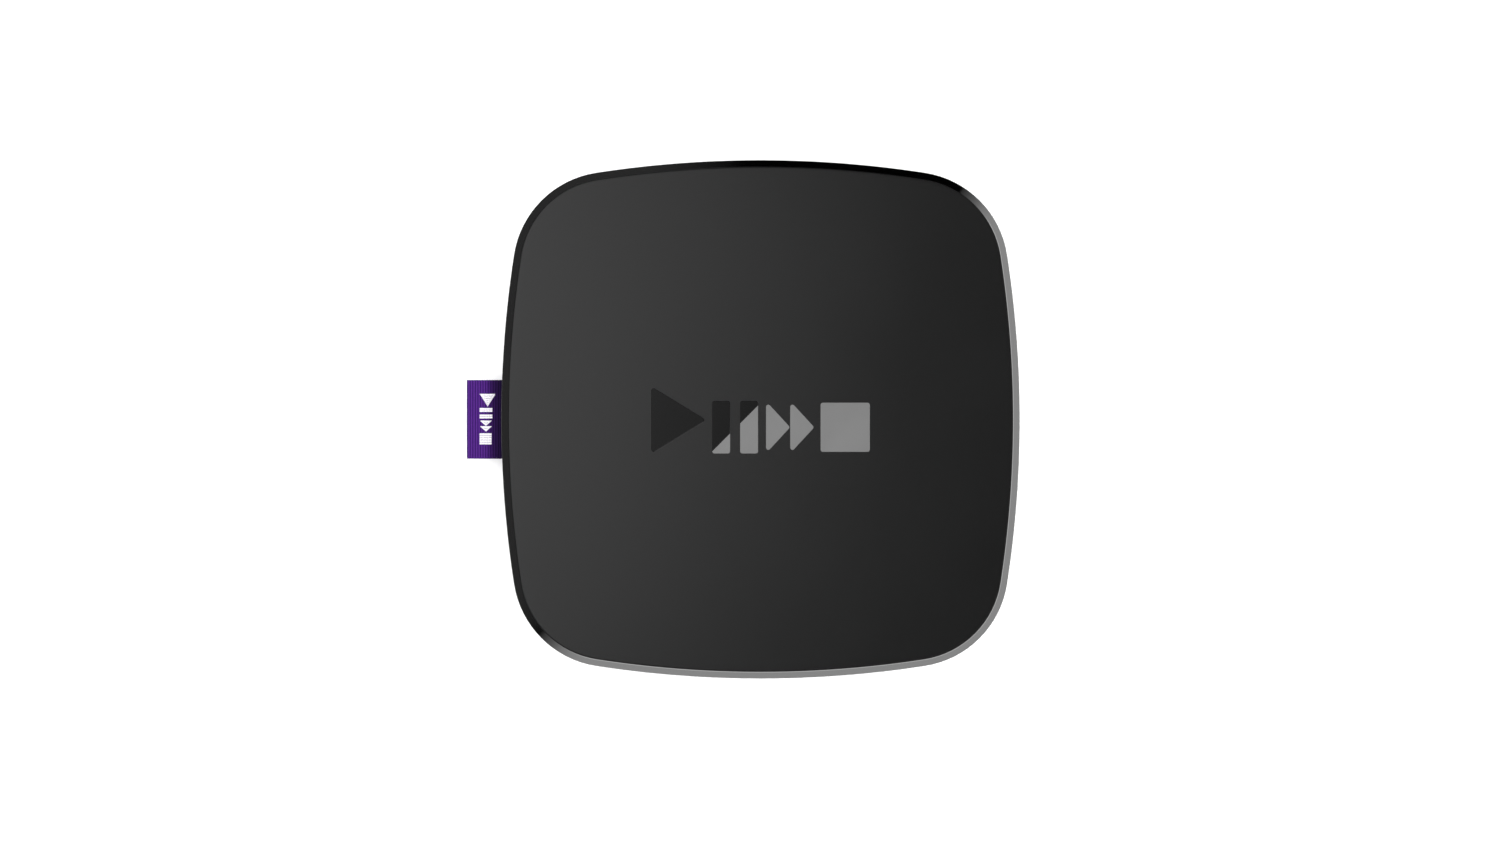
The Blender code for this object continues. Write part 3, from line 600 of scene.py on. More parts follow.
def wall_glow(tree, where):
    """Three bands: low cards for the bevel, a brighter strip for its inner edge, then the dark upper wall."""
    turn = node(tree, "ShaderNodeTexGradient", gradient_type="RADIAL")
    tree.links.new(where, turn.inputs["Vector"])
    split = node(tree, "ShaderNodeSeparateXYZ")
    tree.links.new(where, split.inputs["Vector"])
    height = split.outputs["Z"]
    low = degrees_ramp(tree, turn.outputs["Fac"], [
        (-180, 0.166), (-162, 0.162), (-151, 0.123), (-145, 0.105), (-139.6, 0.05), (-136.6, 0.02), (-136.2, 0.27),
        (-134, 0.39), (-128.6, 0.82), (-123, 1.48), (-117.6, 1.88), (-112, 2.10), (-106, 2.15),
        (20, 2.15), (29.4, 2.05), (35, 1.95), (40.4, 1.65), (44, 1.18), (47.7, 0.78), (51.4, 0.50), (54, 0.30), (55.2, 0.24), (55.5, 0.0),
        (91.2, 0.0), (95.3, 0.10), (98, 0.166), (180, 0.166)])
    strip = degrees_ramp(tree, turn.outputs["Fac"], [
        (-180, 0.18), (-145, 0.11), (-136.6, 0.03), (-136.2, 0.28), (-128.6, 0.90), (-118, 2.4), (-108, 3.7),
        (30, 3.7), (40.4, 2.0), (44, 1.3), (51.4, 0.55), (55.2, 0.25), (55.5, 0.0), (91.2, 0.0), (98, 0.17), (180, 0.18)])
    high = degrees_ramp(tree, turn.outputs["Fac"], [
        (-180, 0.50), (-140, 0.45), (-118, 0.20), (-100, 0.0),
        (40, 0.0), (60, 0.2), (90, 0.40), (120, 0.50), (180, 0.50)])
    def band(value, low_edge, high_edge):
        """value between two heights, fading to nothing over 15 mm outside them."""
        rise = spread(tree, height, 0.0, 1.0, low_edge - 0.015, low_edge)
        fall = spread(tree, height, 1.0, 0.0, high_edge, high_edge + 0.015)
        return maths(tree, "MULTIPLY", value, maths(tree, "MULTIPLY", rise, fall))

    fill = band(0.22, 0.0, 0.30)
    lit = maths(tree, "MAXIMUM", band(low, 0.035, 0.115), band(strip, 0.195, 0.285))
    return maths(tree, "ADD", maths(tree, "MAXIMUM", lit, maths(tree, "MULTIPLY", fill, spread(tree, low, 0.0, 1.0, 0.0, 0.2))), band(high, 0.315, 2.0))


wall_builder = bmesh.new()
wall_rings = [[wall_builder.verts.new((WALL_R * math.cos(2 * math.pi * i / 96), WALL_R * math.sin(2 * math.pi * i / 96), z)) for i in range(96)] for z in (0.004, 0.8)]
for i in range(96):
    j = (i + 1) % 96
    wall_builder.faces.new((wall_rings[0][i], wall_rings[1][i], wall_rings[1][j], wall_rings[0][j]))
studio_card("studio_wall", wall_builder, wall_glow)


def scrim_glow(tree, where):
    """Falls from the left to the right, so the satin lid does too."""
    split = node(tree, "ShaderNodeSeparateXYZ")
    tree.links.new(where, split.inputs["Vector"])
    slope = maths(tree, "ADD", maths(tree, "MULTIPLY", split.outputs["X"], SCRIM_X), maths(tree, "MULTIPLY", split.outputs["Y"], SCRIM_Y))
    square = maths(tree, "ADD", maths(tree, "MULTIPLY", split.outputs["X"], split.outputs["X"]), maths(tree, "MULTIPLY", split.outputs["Y"], split.outputs["Y"]))
    slope = maths(tree, "ADD", slope, maths(tree, "MULTIPLY", square, SCRIM_Q))
    return maths(tree, "MINIMUM", maths(tree, "MAXIMUM", maths(tree, "ADD", slope, SCRIM_0), 0.0), SCRIM_MAX)


SCRIM_Z, SCRIM_R, SCRIM_0, SCRIM_X, SCRIM_Y, SCRIM_Q, SCRIM_MAX = 0.17, 0.165, 0.61, -13.0, 2.8, -30.0, 2.0
scrim_builder = bmesh.new()
scrim_builder.faces.new([scrim_builder.verts.new((SCRIM_R * math.cos(2 * math.pi * i / 64), SCRIM_R * math.sin(2 * math.pi * i / 64), SCRIM_Z)) for i in range(64)])
studio_card("studio_scrim", scrim_builder, scrim_glow)


# =================================================================================
# Cover: satin lid panel, bevelled gloss rim and flank
# =================================================================================
LID_INSET = 1.76
LID_ROLL, LID_ROLL_DEPTH = 0.36, 0.16


def lid_panel():
    """Bowed panel whose edge rolls down into a hairline seam."""
    rings = [crown(share / 26) for share in range(1, 26)]
    for share in (1.0, 0.84, 0.68, 0.53, 0.40, 0.28, 0.18, 0.10, 0.045, 0.012, 0.0):
        inset = LID_INSET + LID_ROLL * share
        z = BODY_TOP - (BODY_TOP - TOP_EDGE_Z) * ((BODY_HALF - inset) / (BODY_HALF - RIM)) ** 2
        rings.append(outline(inset, z - LID_ROLL_DEPTH * (1 - math.sqrt(1 - (1 - share) ** 2))))
    rings.append(outline(LID_INSET, 20.40))
    return piece("lid_panel", loft(rings), LID_MATT, smooth=40)


lid = lid_panel()
fit(lid, replaces=("top_cover",))


def cover_shell():
    """Gloss shell: rings from the lid's seat over the rim, down the flank and up inside."""
    bottom = COVER_FOOT_Z
    chamfer = math.tan(math.radians(41.0))
    rim = [(1.70, 20.38), (1.70, 21.08), (1.695, 21.115), (1.68, 21.131), (1.66, 21.135)]
    # narrow facet at 33 degrees, then the broad bevel at 41 degrees
    facet = 1.46
    z_facet = 21.135 - (1.66 - facet) * math.tan(math.radians(33))
    rim += [(facet + 0.03, z_facet + 0.017), (facet, z_facet), (facet - 0.03, z_facet - 0.024)]
    rim += [(d, z_facet - (facet - d) * chamfer) for d in (1.15, 0.82, 0.50, 0.20, 0.06)]
    z_outer = z_facet - (facet - 0.03) * chamfer
    rim += [(0.03, z_outer)]
    flank = [(0.018, z_outer - 0.015), (0.010, z_outer - 0.038), (0.004, z_outer - 0.073), (0.001, z_outer - 0.128), (0.0, z_outer - 0.20), (0.0, 18.40)]
    for k in range(13):
        z = RIDGE_Z - (RIDGE_Z - bottom - 0.12) * k / 12
        flank.append((flank_inset(z), z))
    flank += [(TAPER + 0.04, bottom + 0.03), (TAPER + 0.14, bottom)]
    inner = [(TAPER + 1.8, bottom), (flank_inset(10.5) + 1.85, 10.5), (1.95, 17.2), (2.5, 19.2), (3.4, ROOF_Z)]
    profile = [(4.2, 20.38)] + rim + flank + inner
    builder = loft([outline(d, z) for d, z in profile])
    builder.faces.ensure_lookup_table()
    count = len(outline(0, 0))
    last_rim, last_flank = len(rim), len(rim) + len(flank)
    for number, face in enumerate(builder.faces[: count * (len(profile) - 1)]):
        ring = number // count
        face.material_index = 1 if ring == 0 or ring > last_flank else (0 if ring > last_rim else 2)
    made = piece("cover_shell", builder, FLANK_GLOSS)
    made.data.materials.append(WALL_INNER)
    made.data.materials.append(RIM_GLOSS)
    # Rear bay, tag slot, socket window, button hole and light hole.
    combine(made, stack([(rectangle(2 * BAY_HALF, 30.0, 1.6, 5), 0), (rectangle(2 * BAY_HALF, 30.0, 1.6, 5), 18.0)], (0, 54.2, BAY_TOP - 15.0), *REAR))
    combine(made, stack([(rectangle(TAG_W + 0.7, TAG_T + 0.7, 0.35), -66.0), (rectangle(TAG_W + 0.7, TAG_T + 0.7, 0.35), -56.0)], (0, 0, TAG_Z), (0, 1, 0), (0, 0, 1), (1, 0, 0)))
    combine(made, stack([(rectangle(13.9, 6.5, 0.5), 56.0), (rectangle(13.9, 6.5, 0.5), 66.0)], (0, USB_Y, ON_BOARD + 2.95), *RIGHT))
    combine(made, stack([(rectangle(10.6, 6.6, 3.29, 10), 56.0), (rectangle(10.6, 6.6, 3.29, 10), 66.0)], (0, FINDER_Y, FINDER_Z), *RIGHT))
    combine(made, turned([(1.35, 0), (1.35, 12)], (0, -66.0, LIGHT_Z), (0, 1, 0), 24))
    return made


shell = cover_shell()
fit(shell, replaces=("top_cover",))

# ---------------------------------------------------------------------------------
# Emblem: three plain playback signs inlaid in the lid, split by a diagonal into a painted bright reflection and a
# painted dark reflection
# ---------------------------------------------------------------------------------
def lid_z(x, y):
    """Height of the lid's crown at a point."""
    return BODY_TOP - (BODY_TOP - TOP_EDGE_Z) * (max(abs(x), abs(y)) / (BODY_HALF - RIM)) ** 2


def bar_shape(x0, x1, y0, y1):
    return [(x0, y0), (x1, y0), (x1, y1), (x0, y1)]


# Play, pause, fast-forward and stop signs in a row on one base line.
SIGNS = [
    [(-26.2, -8.2), (-13.0, -0.15), (-26.2, 7.9)],
    bar_shape(-11.6, -7.3, -8.2, 4.4),
    bar_shape(-4.9, -0.6, -8.2, 4.4),
    [(1.3, -8.2), (7.1, -1.9), (1.3, 4.4)],
    [(7.1, -8.2), (12.9, -1.9), (7.1, 4.4)],
    bar_shape(14.4, 26.2, -7.8, 4.0),
]


def emblem(name, paint, dark):
    parts = []
    for sign in SIGNS:
        shape = rounded(sign, 0.55)
        inner = rounded([((x - sum(p[0] for p in sign) / 3) * 0.985 + sum(p[0] for p in sign) / 3, (y - sum(p[1] for p in sign) / 3) * 0.985 + sum(p[1] for p in sign) / 3) for x, y in sign], 0.53)
        top = BODY_TOP + 0.06
        parts.append(loft([[(x, y, BODY_TOP - 0.25) for x, y in shape], [(x, y, top - 0.05) for x, y in shape], [(x, y, top) for x, y in inner]]))
    builder = join(*parts)
    # The painted bright reflection and the painted dark reflection meet along a line at 45 degrees.
    normal = Vector((1, -1, 0)).normalized()
    bmesh.ops.bisect_plane(
        builder, geom=builder.verts[:] + builder.edges[:] + builder.faces[:], dist=1e-5,
        plane_co=(-3.9, 0, 0), plane_no=normal, clear_outer=dark, clear_inner=not dark,
    )
    bmesh.ops.holes_fill(builder, edges=[e for e in builder.edges if e.is_boundary])
    return fit(piece(name, builder, paint, smooth=6))


# Painted reflection: one gloss inlay is given as a near-black copy and a grey copy, which paint the dark and the bright
# halves of its reflection.
EMBLEM_PAINTED_DARK_REFLECTION = glossy("emblem_gloss_painted_dark_reflection", (0.0010, 0.0010, 0.0010), 0.22, ior=1.33)
EMBLEM_PAINTED_BRIGHT_REFLECTION = glossy("emblem_gloss_painted_bright_reflection", (0.100, 0.100, 0.100), 0.22, ior=1.33)
emblem("emblem_painted_dark_reflection", EMBLEM_PAINTED_DARK_REFLECTION, True)
emblem("emblem_painted_bright_reflection", EMBLEM_PAINTED_BRIGHT_REFLECTION, False)


# =================================================================================
# Base, port panel and foot pad
# =================================================================================
def base():
    rings = [
        outline(8.5, 1.5), outline(8.5, 0.78), outline(8.42, 0.70), outline(7.35, 0.70),
        outline(6.9, 0.74), outline(6.1, 0.98), outline(5.2, 1.38), outline(4.4, 1.86), outline(3.75, 2.36),
        outline(3.2, 2.88), outline(2.78, 3.40), outline(2.5, 3.86), outline(2.36, 4.12), outline(2.42, 4.20),
        outline(4.2, 4.2), outline(4.2, 6.6), outline(5.5, 6.6), outline(5.5, FLOOR_Z),
    ]
    made = piece("base_tray_skin", loft(rings), BASE)
    combine(made, block((-BAY_HALF, 50.0, 4.2), (BAY_HALF, 64.0, 8.0)))
    for sx in (-1, 1):
        for sy in (-1, 1):
            x, y = sx * BOSS_XY, sy * BOSS_XY
            combine(made, turned([(4.5, 2.0), (4.5, 5.0)], (x, y, 0), (0, 0, 1), 24), "UNION")
            combine(made, turned([(1.6, 1.0), (1.6, 6.0)], (x, y, 0), (0, 0, 1), 24))
            combine(made, turned([(2.9, 1.0), (2.9, 3.6)], (x, y, 0), (0, 0, 1), 24))
    for x, y in BOARD_SCREWS:
        combine(made, turned([(3.5, 2.2), (3.5, 5.1)], (x, y, 0), (0, 0, 1), 24), "UNION")
        combine(made, turned([(1.6, 3.3), (1.6, 6.0)], (x, y, 0), (0, 0, 1), 24))
    for x, y in ((-38, 46), (6, 47), (-40, -30), (8, -46)):
        combine(made, block((x - 1.5, y - 1.5, 2.2), (x + 1.5, y + 1.5, 5.1)), "UNION")
    for side in (-1, 1):
        for x in (side * 25.5 - 12, side * 25.5 + 12):
            combine(made, block((x - 1.0, -51.9, 2.2), (x + 1.0, -50.5, 9.0)), "UNION")
    return made


def flared(shape_at, centre, depth=5.0, lip=0.35):
    """Cutter for a panel opening with a chamfered mouth. shape_at(grow) gives the outline."""
    x, z = centre
    face = PANEL_Y
    return stack(
        [(shape_at(0), face - depth), (shape_at(0), face - lip), (shape_at(2 * lip), face), (shape_at(2 * lip + 1.0), face + 0.5)],
        (x, 0, z), *REAR,
    )


def port_panel():
    made = piece("port_panel", block((-PANEL_HALF, PANEL_Y - PANEL_T, 3.5), (PANEL_HALF, PANEL_Y, PANEL_TOP)), PANEL)
    combine(made, block((-34.0, PANEL_Y - PANEL_T, 2.6), (34.0, PANEL_Y - 0.02, 4.8)), "UNION")
    combine(made, flared(lambda g: circle(4.1 + g / 2, 48), (DC_X, DC_Z)))
    combine(made, flared(lambda g: circle(0.9 + g / 2, 32), (RESET_X, RESET_Z)))
    combine(made, flared(lambda g: rounded(video_shape(15.8 + g, 6.2 + g, 2.1), 0.5), (HDMI_X, ON_BOARD + 2.8), lip=0.3))
    combine(made, flared(lambda g: rectangle(15.2 + g, 2.6 + g, 0.4 + g / 4), (CARD_X, ON_BOARD + 1.0), lip=0.3))
    combine(made, flared(lambda g: rectangle(16.6 + g, 12.1 + g, 0.5 + g / 4), (LAN_X, 11.65), lip=0.3))
    combine(made, flared(lambda g: rectangle(10.3 + g, 10.4 + g, 0.5 + g / 4), (OPTIC_X, ON_BOARD + 4.9), lip=0.3))
    return made


tray = base()
fit(tray, replaces=("base_tray",))
panel = port_panel()
fit(panel, replaces=("base_tray",))


def foot_pad():
    rings = [
        [(x * 0.5, y * 0.5, 0.0) for x, y, _ in outline(15.4, 0)],
        outline(15.4, 0.0), outline(15.22, 0.05), outline(15.1, 0.18), outline(14.9, 0.33), outline(14.7, 0.38),
        outline(13.9, 0.38), outline(13.7, 0.33), outline(13.5, 0.18), outline(13.38, 0.05), outline(13.2, 0.0),
        outline(9.45, 0.0), outline(9.15, 0.05), outline(8.93, 0.18), outline(PAD_INSET, 0.42), outline(PAD_INSET, PAD_T),
    ]
    return fit(piece("foot_pad_skin", loft(rings), RUBBER), replaces=("foot_pad",))


foot_pad()


# =================================================================================
# Woven tag
# =================================================================================
RIB = 0.62
TAG_IN = -56.65
FOLD_R = 0.34            # radius of the ribbon's middle at the fold
RIBBON_T = 0.40
run = TAG_OUT - 0.28 - FOLD_R - abs(TAG_IN)      # straight run of each layer
FOLD_X = TAG_IN - run
tag_length = 2 * run + math.pi * FOLD_R




def grosgrain():
    """Ribbed ribbon: purple weft ribs with lighter crowns, fine warp threads across them."""
    made, tree, shader = material("woven_purple", (0.09, 0.03, 0.24), 0.85)
    here = coordinates(tree)
    split = node(tree, "ShaderNodeSeparateXYZ")
    tree.links.new(here, split.inputs["Vector"])
    # fine warp threads, 0.24 mm apart, running along X
    warp = maths(tree, "SINE", maths(tree, "MULTIPLY", split.outputs["Y"], 2 * math.pi / (0.24 * MM)))
    # each second rib sits over the warp
    weft = maths(tree, "SINE", maths(tree, "MULTIPLY", split.outputs["X"], math.pi / (RIB * MM)))
    check = maths(tree, "MULTIPLY", warp, weft)
    fibre = noise(tree, coordinates(tree, (3.0, 1.0, 1.0)), 2600.0, 4.0, 0.7)
    shade = maths(tree, "ADD", maths(tree, "MULTIPLY", check, 0.16), maths(tree, "MULTIPLY", fibre, 0.55))
    colour = ramp(tree, spread(tree, shade, 0.0, 1.0, 0.05, 0.65), [(0.0, (0.019, 0.0030, 0.068)), (0.5, (0.043, 0.0080, 0.124)), (1.0, (0.073, 0.017, 0.180))])
    # crowns of the ribs catch more light than the furrows between them
    rib = maths(tree, "ABSOLUTE", maths(tree, "COSINE", maths(tree, "MULTIPLY", maths(tree, "SUBTRACT", split.outputs["X"], FOLD_X * MM), math.pi / (RIB * MM))))
    colour = mix(tree, 1.0, colour, ramp(tree, rib, [(0.0, (0.24, 0.16, 0.32)), (0.45, (0.82, 0.76, 0.87)), (1.0, (1.44, 1.60, 1.30))]), "MULTIPLY")
    # painted shade: the stretch by the slot is painted darker, standing for the body's shadow over the ribbon's root
    depth = ramp(tree, spread(tree, split.outputs["X"], 0.0, 1.0, -0.0668, -0.0620), [
        (0.0, (1.0, 1.0, 1.0)), (0.12, (0.93, 0.90, 0.93)), (0.27, (0.62, 0.52, 0.67)), (0.40, (0.42, 0.32, 0.42)),
        (0.54, (0.31, 0.22, 0.33)), (0.69, (0.24, 0.15, 0.26)), (0.90, (0.16, 0.08, 0.19)), (1.0, (0.11, 0.05, 0.14))])
    tree.links.new(mix(tree, 1.0, colour, depth, "MULTIPLY"), shader.inputs["Base Color"])
    tree.links.new(spread(tree, fibre, 0.72, 0.95), shader.inputs["Roughness"])
    shader.inputs["Sheen Weight"].default_value = 0.12
    shader.inputs["Sheen Roughness"].default_value = 0.4
    shader.inputs["Sheen Tint"].default_value = (0.55, 0.40, 0.80, 1.0)
    shader.inputs["Specular IOR Level"].default_value = 0.15
    bump(tree, shader, maths(tree, "ADD", maths(tree, "MULTIPLY", check, 0.35), fibre), 0.03)
    return made


def yarn_white():
    made, tree, shader = material("woven_white", (0.60, 0.59, 0.61), 0.8)
    here = coordinates(tree)
    twist = noise(tree, coordinates(tree, (1.0, 3.0, 1.0), (0, 0, 0.5)), 3000.0, 3.0, 0.7)
    tree.links.new(ramp(tree, twist, [(0.25, (0.52, 0.50, 0.54)), (0.65, (0.76, 0.75, 0.77))]), shader.inputs["Base Color"])
    tree.links.new(spread(tree, noise(tree, here, 900.0), 0.7, 0.9), shader.inputs["Roughness"])
    shader.inputs["Sheen Weight"].default_value = 0.3
    bump(tree, shader, twist, 0.02)
    return made



def tag_droop(x):
    """The loose end hangs a little below its slot."""
    out = max(0.0, (-x - 61.0) / 9.5)
    return -0.42 * out * out


def tag_path(s):
    """Point and outward normal on the ribbon's middle, s from the upper inner end round the fold."""
    if s < run:
        x = TAG_IN - s
        share = min(1.0, s / run)
        half = 0.24 + (FOLD_R - 0.24) * share * share
        return Vector((x, 0, TAG_Z + half + tag_droop(x))), Vector((0, 0, 1))
    if s < run + math.pi * FOLD_R:
        a = (s - run) / FOLD_R
        return (
            Vector((FOLD_X - FOLD_R * math.sin(a), 0, TAG_Z + tag_droop(FOLD_X) + FOLD_R * math.cos(a))),
            Vector((-math.sin(a), 0, math.cos(a))),
        )
    s2 = tag_length - s
    x = TAG_IN - s2
    share = min(1.0, s2 / run)
    half = 0.24 + (FOLD_R - 0.24) * share * share
    return Vector((x, 0, TAG_Z - half + tag_droop(x))), Vector((0, 0, -1))


def rib_height(s):
    """Rounded ribs across the ribbon, measured from the fold's middle so that both layers agree."""
    return 0.075 * abs(math.cos(math.pi * (s - tag_length / 2) / RIB)) ** 0.7


def fabric_tag():
    steps = int(tag_length / RIB * 9)
    across = 44
    builder = bmesh.new()
    rows = []
    for i in range(steps + 1):
        s = tag_length * i / steps
        centre, normal = tag_path(s)
        lift = rib_height(s)
        outer, inner = [], []
        for j in range(across + 1):
            v = -1 + 2 * j / across
            edge = 0.05 * abs(math.cos(math.pi * (s - tag_length / 2) / RIB))
            y = v * (TAG_W / 2 - 0.06 + (edge if abs(v) == 1 else 0))
            round_off = 0.0 if abs(v) < 0.985 else 0.07
            wave = 0.05 * math.sin(2.1 * v + 0.6) * min(1.0, s / run, (tag_length - s) / run)
            place = centre + Vector((0, y, wave))
            outer.append(builder.verts.new(place + normal * (RIBBON_T / 2 - 0.06 + lift - round_off)))
            inner.append(builder.verts.new(place - normal * (RIBBON_T / 2 - 0.10 - round_off)))
        rows.append((outer, inner))
    for (outer_a, inner_a), (outer_b, inner_b) in zip(rows, rows[1:]):
        for j in range(across):
            builder.faces.new((outer_a[j], outer_a[j + 1], outer_b[j + 1], outer_b[j]))
            builder.faces.new((inner_a[j + 1], inner_a[j], inner_b[j], inner_b[j + 1]))
        builder.faces.new((outer_a[0], outer_b[0], inner_b[0], inner_a[0]))
        builder.faces.new((outer_b[-1], outer_a[-1], inner_a[-1], inner_b[-1]))
    for outer, inner in (rows[0], rows[-1]):
        for j in range(across):
            builder.faces.new((outer[j], inner[j], inner[j + 1], outer[j + 1]))
    made = piece("fabric_tag_ribbon", builder, WOVEN, smooth=60)
    fit(made, replaces=("fabric_tag",))
    return made


WOVEN = grosgrain()
YARN = yarn_white()
ribbon = fabric_tag()

# Woven mark: the same playback signs, turned to read down the tag, made of short white
# floats laid along the ribs.
def tag_sign(sign):
    """Emblem coordinates carried to the tag: (along, across) with along = y."""
    return [(0.05 - 0.2345 * x, -67.85 + 0.243 * (y + 8.2)) for x, y in sign]


TAG_SIGNS = [tag_sign(sign) for sign in SIGNS]


def spans(polygon, v):
    """Where a line at height v crosses a polygon given as (u, v) points."""
    hits = []
    for (u0, v0), (u1, v1) in zip(polygon, polygon[1:] + polygon[:1]):
        if (v0 <= v < v1) or (v1 <= v < v0):
            hits.append(u0 + (u1 - u0) * (v - v0) / (v1 - v0))
    hits.sort()
    return list(zip(hits[::2], hits[1::2]))


def tag_surface(x, y):
    """Height of the ribbon's upper face."""
    s = TAG_IN - x
    centre, _ = tag_path(s)
    v = y / (TAG_W / 2)
    wave = 0.05 * math.sin(2.1 * v + 0.6) * min(1.0, s / run)
    return centre.z + wave + RIBBON_T / 2 - 0.06


def woven_mark():
    floats = []
    pitch = RIB / 3
    v = -67.85 + pitch / 2
    while v <= -63.5:
        for sign in TAG_SIGNS:
            for start, end in spans(sign, v):
                if end - start < 0.16:
                    continue
                count = max(1, round((end - start) / 0.55))
                length = (end - start) / count
                for k in range(count):
                    floats.append((v, start + (k + 0.5) * length, length * 0.95))
        v += pitch
    parts = []
    for x, y, length in floats:
        z = tag_surface(x, y) + 0.055
        rings = []
        for share, grow in ((-0.5, 0.35), (-0.42, 0.8), (-0.2, 1.0), (0.2, 1.0), (0.42, 0.8), (0.5, 0.35)):
            rings.append([(x + 0.107 * grow * math.cos(t), y + share * length, z + 0.075 * grow * math.sin(t)) for t in [2 * math.pi * i / 8 for i in range(8)]])
        parts.append(loft(rings))
    return fit(piece("tag_woven_mark", join(*parts), YARN, smooth=60))


mark = woven_mark()

# =================================================================================
# Sockets and keys
# =================================================================================
def spring(centre, length, width, bulge, along, across, inward, thick=0.14, steps=8):
    """Sprung finger lying on a socket's wall, bowed into the cavity."""
    centre, along, across, inward = Vector(centre), Vector(along), Vector(across), Vector(inward)
    rings = []
    for i in range(steps + 1):
        t = i / steps
        lift = bulge * math.sin(math.pi * t)
        narrow = width / 2 * (1 - 0.25 * abs(2 * t - 1))
        middle = centre + along * (length * (t - 0.5)) + inward * lift
        rings.append([middle + across * a + inward * b for a, b in ((-narrow, -thick / 2), (narrow, -thick / 2), (narrow, thick / 2), (-narrow, thick / 2))])
    return loft(rings)


def video_socket():
    z = ON_BOARD + 2.8
    outer, inner = rounded(video_shape(15.2, 5.6, 2.0), 0.55), rounded(video_shape(14.5, 4.95, 1.85), 0.3)
    parts = [sheet_socket(outer, inner, (HDMI_X, MOUTH_Y, z), *REAR, 11.5, 10.2)]
    for x in (-3.4, 3.4):
        for level, inward in ((2.42, -1), (-2.42, 1)):
            parts.append(spring((HDMI_X + x, 52.9, z + level), 4.6, 1.9, 0.24, (0, 1, 0), (1, 0, 0), (0, 0, inward)))
    fit(piece("hdmi_shell_sheet", join(*parts), TINNED), replaces=("hdmi_shell",))
    blades = []
    for i in range(10):
        blades.append(block((HDMI_X + i - 4.5 - 0.19, 46.6, z + 0.70), (HDMI_X + i - 4.5 + 0.19, 54.2, z + 0.79), 0.03, 1))
    for i in range(9):
        blades.append(block((HDMI_X + i - 4.0 - 0.19, 46.6, z - 0.29), (HDMI_X + i - 4.0 + 0.19, 54.2, z - 0.20), 0.03, 1))
    fit(piece("hdmi_contacts", join(*blades), GOLD, smooth=20))


def usb_socket():
    z, mouth = ON_BOARD + 2.95, 60.1
    outer, inner = rectangle(13.2, 5.9, 0.7, 6), rectangle(12.55, 5.22, 0.4, 6)
    parts = [sheet_socket(outer, inner, (mouth, USB_Y, z), *RIGHT, 14.0, 12.6)]
    for y in (-3.2, 3.2):
        parts.append(spring((56.0, USB_Y + y, z - 2.56), 6.2, 1.7, 0.36, (1, 0, 0), (0, 1, 0), (0, 0, 1)))
    for y in (-1, 1):
        parts.append(spring((55.6, USB_Y + y * 6.22, z - 1.2), 5.6, 1.6, 0.30, (1, 0, 0), (0, 0, 1), (0, -y, 0)))
    fit(piece("usb_shell_sheet", join(*parts), TINNED), replaces=("usb_shell",))
    blades = []
    for y in (-3.5, -1.0, 1.0, 3.5):
        low = z + 0.25
        rings = []
        for x, drop in ((48.4, 0.02), (54.2, 0.04), (55.4, 0.16), (56.4, 0.24), (57.3, 0.18), (58.2, 0.03)):
            rings.append([(x, USB_Y + y - 0.5, low - drop - 0.05), (x, USB_Y + y + 0.5, low - drop - 0.05), (x, USB_Y + y + 0.5, low - drop + 0.05), (x, USB_Y + y - 0.5, low - drop + 0.05)])
        blades.append(loft(rings))
    fit(piece("usb_contacts", join(*blades), GOLD, smooth=40))


def network_socket():
    low, back = 5.9, MOUTH_Y - 15.8
    mid = low + 5.75
    shell_sheet = sheet_socket(rectangle(16.0, 11.5, 0.55, 5), rectangle(15.4, 10.9, 0.35, 5), (LAN_X, MOUTH_Y, mid), *REAR, 15.8, 15.45)
    fit(piece("ethernet_shell_sheet", shell_sheet, TINNED), replaces=("ethernet_jack",))
    insert = piece("ethernet_insert", block((LAN_X - 7.66, back + 0.4, low + 0.34), (LAN_X + 7.66, MOUTH_Y - 0.25, low + 11.16), 0.16, 2), CONNECTOR)
    face = MOUTH_Y - 0.25

    def mouth(width, height, z, depth, flare=0.35):
        shape = rectangle(width, height, 0.25, 3)
        wide = rectangle(width + 2 * flare, height + 2 * flare, 0.35, 3)
        return stack([(shape, face - depth), (shape, face - 0.4), (wide, face), (wide, face + 1.0)], (LAN_X, 0, z), *REAR)

    combine(insert, mouth(11.9, 7.2, low + 6.8, 12.2))
    combine(insert, mouth(6.2, 3.0, low + 2.75, 8.7, 0.2))
    # Eight guide slots for the contacts in the cavity's ceiling.
    combine(insert, join(*[block((LAN_X + (i - 3.5) * 1.02 - 0.33, face - 10.6, low + 10.2), (LAN_X + (i - 3.5) * 1.02 + 0.33, face - 2.9, low + 10.75)) for i in range(8)]))
    fit(insert, replaces=("ethernet_jack",))
    # Eight sprung wires run back from the ceiling by the mouth, then curl up at their ends.
    path = [(52.9, 16.42), (52.3, 16.36), (51.6, 16.12), (50.6, 15.72), (49.2, 15.18), (47.8, 14.66), (46.6, 14.28), (45.9, 14.16), (45.4, 14.24), (45.1, 14.44)]
    wires = []
    for i in range(8):
        x, rings = LAN_X + (i - 3.5) * 1.02, []
        for k, (y, z) in enumerate(path):
            before, after = path[max(0, k - 1)], path[min(len(path) - 1, k + 1)]
            run = Vector((0, after[0] - before[0], after[1] - before[1])).normalized()
            up = Vector((0, -run.z, run.y))
            rings.append(ring_of(rectangle(0.42, 0.24, 0.1, 2), (x, y, z), (1, 0, 0), up))
        wires.append(loft(rings))
    fit(piece("ethernet_contact_wires", join(*wires), GOLD, smooth=50), replaces=("ethernet_contacts",))


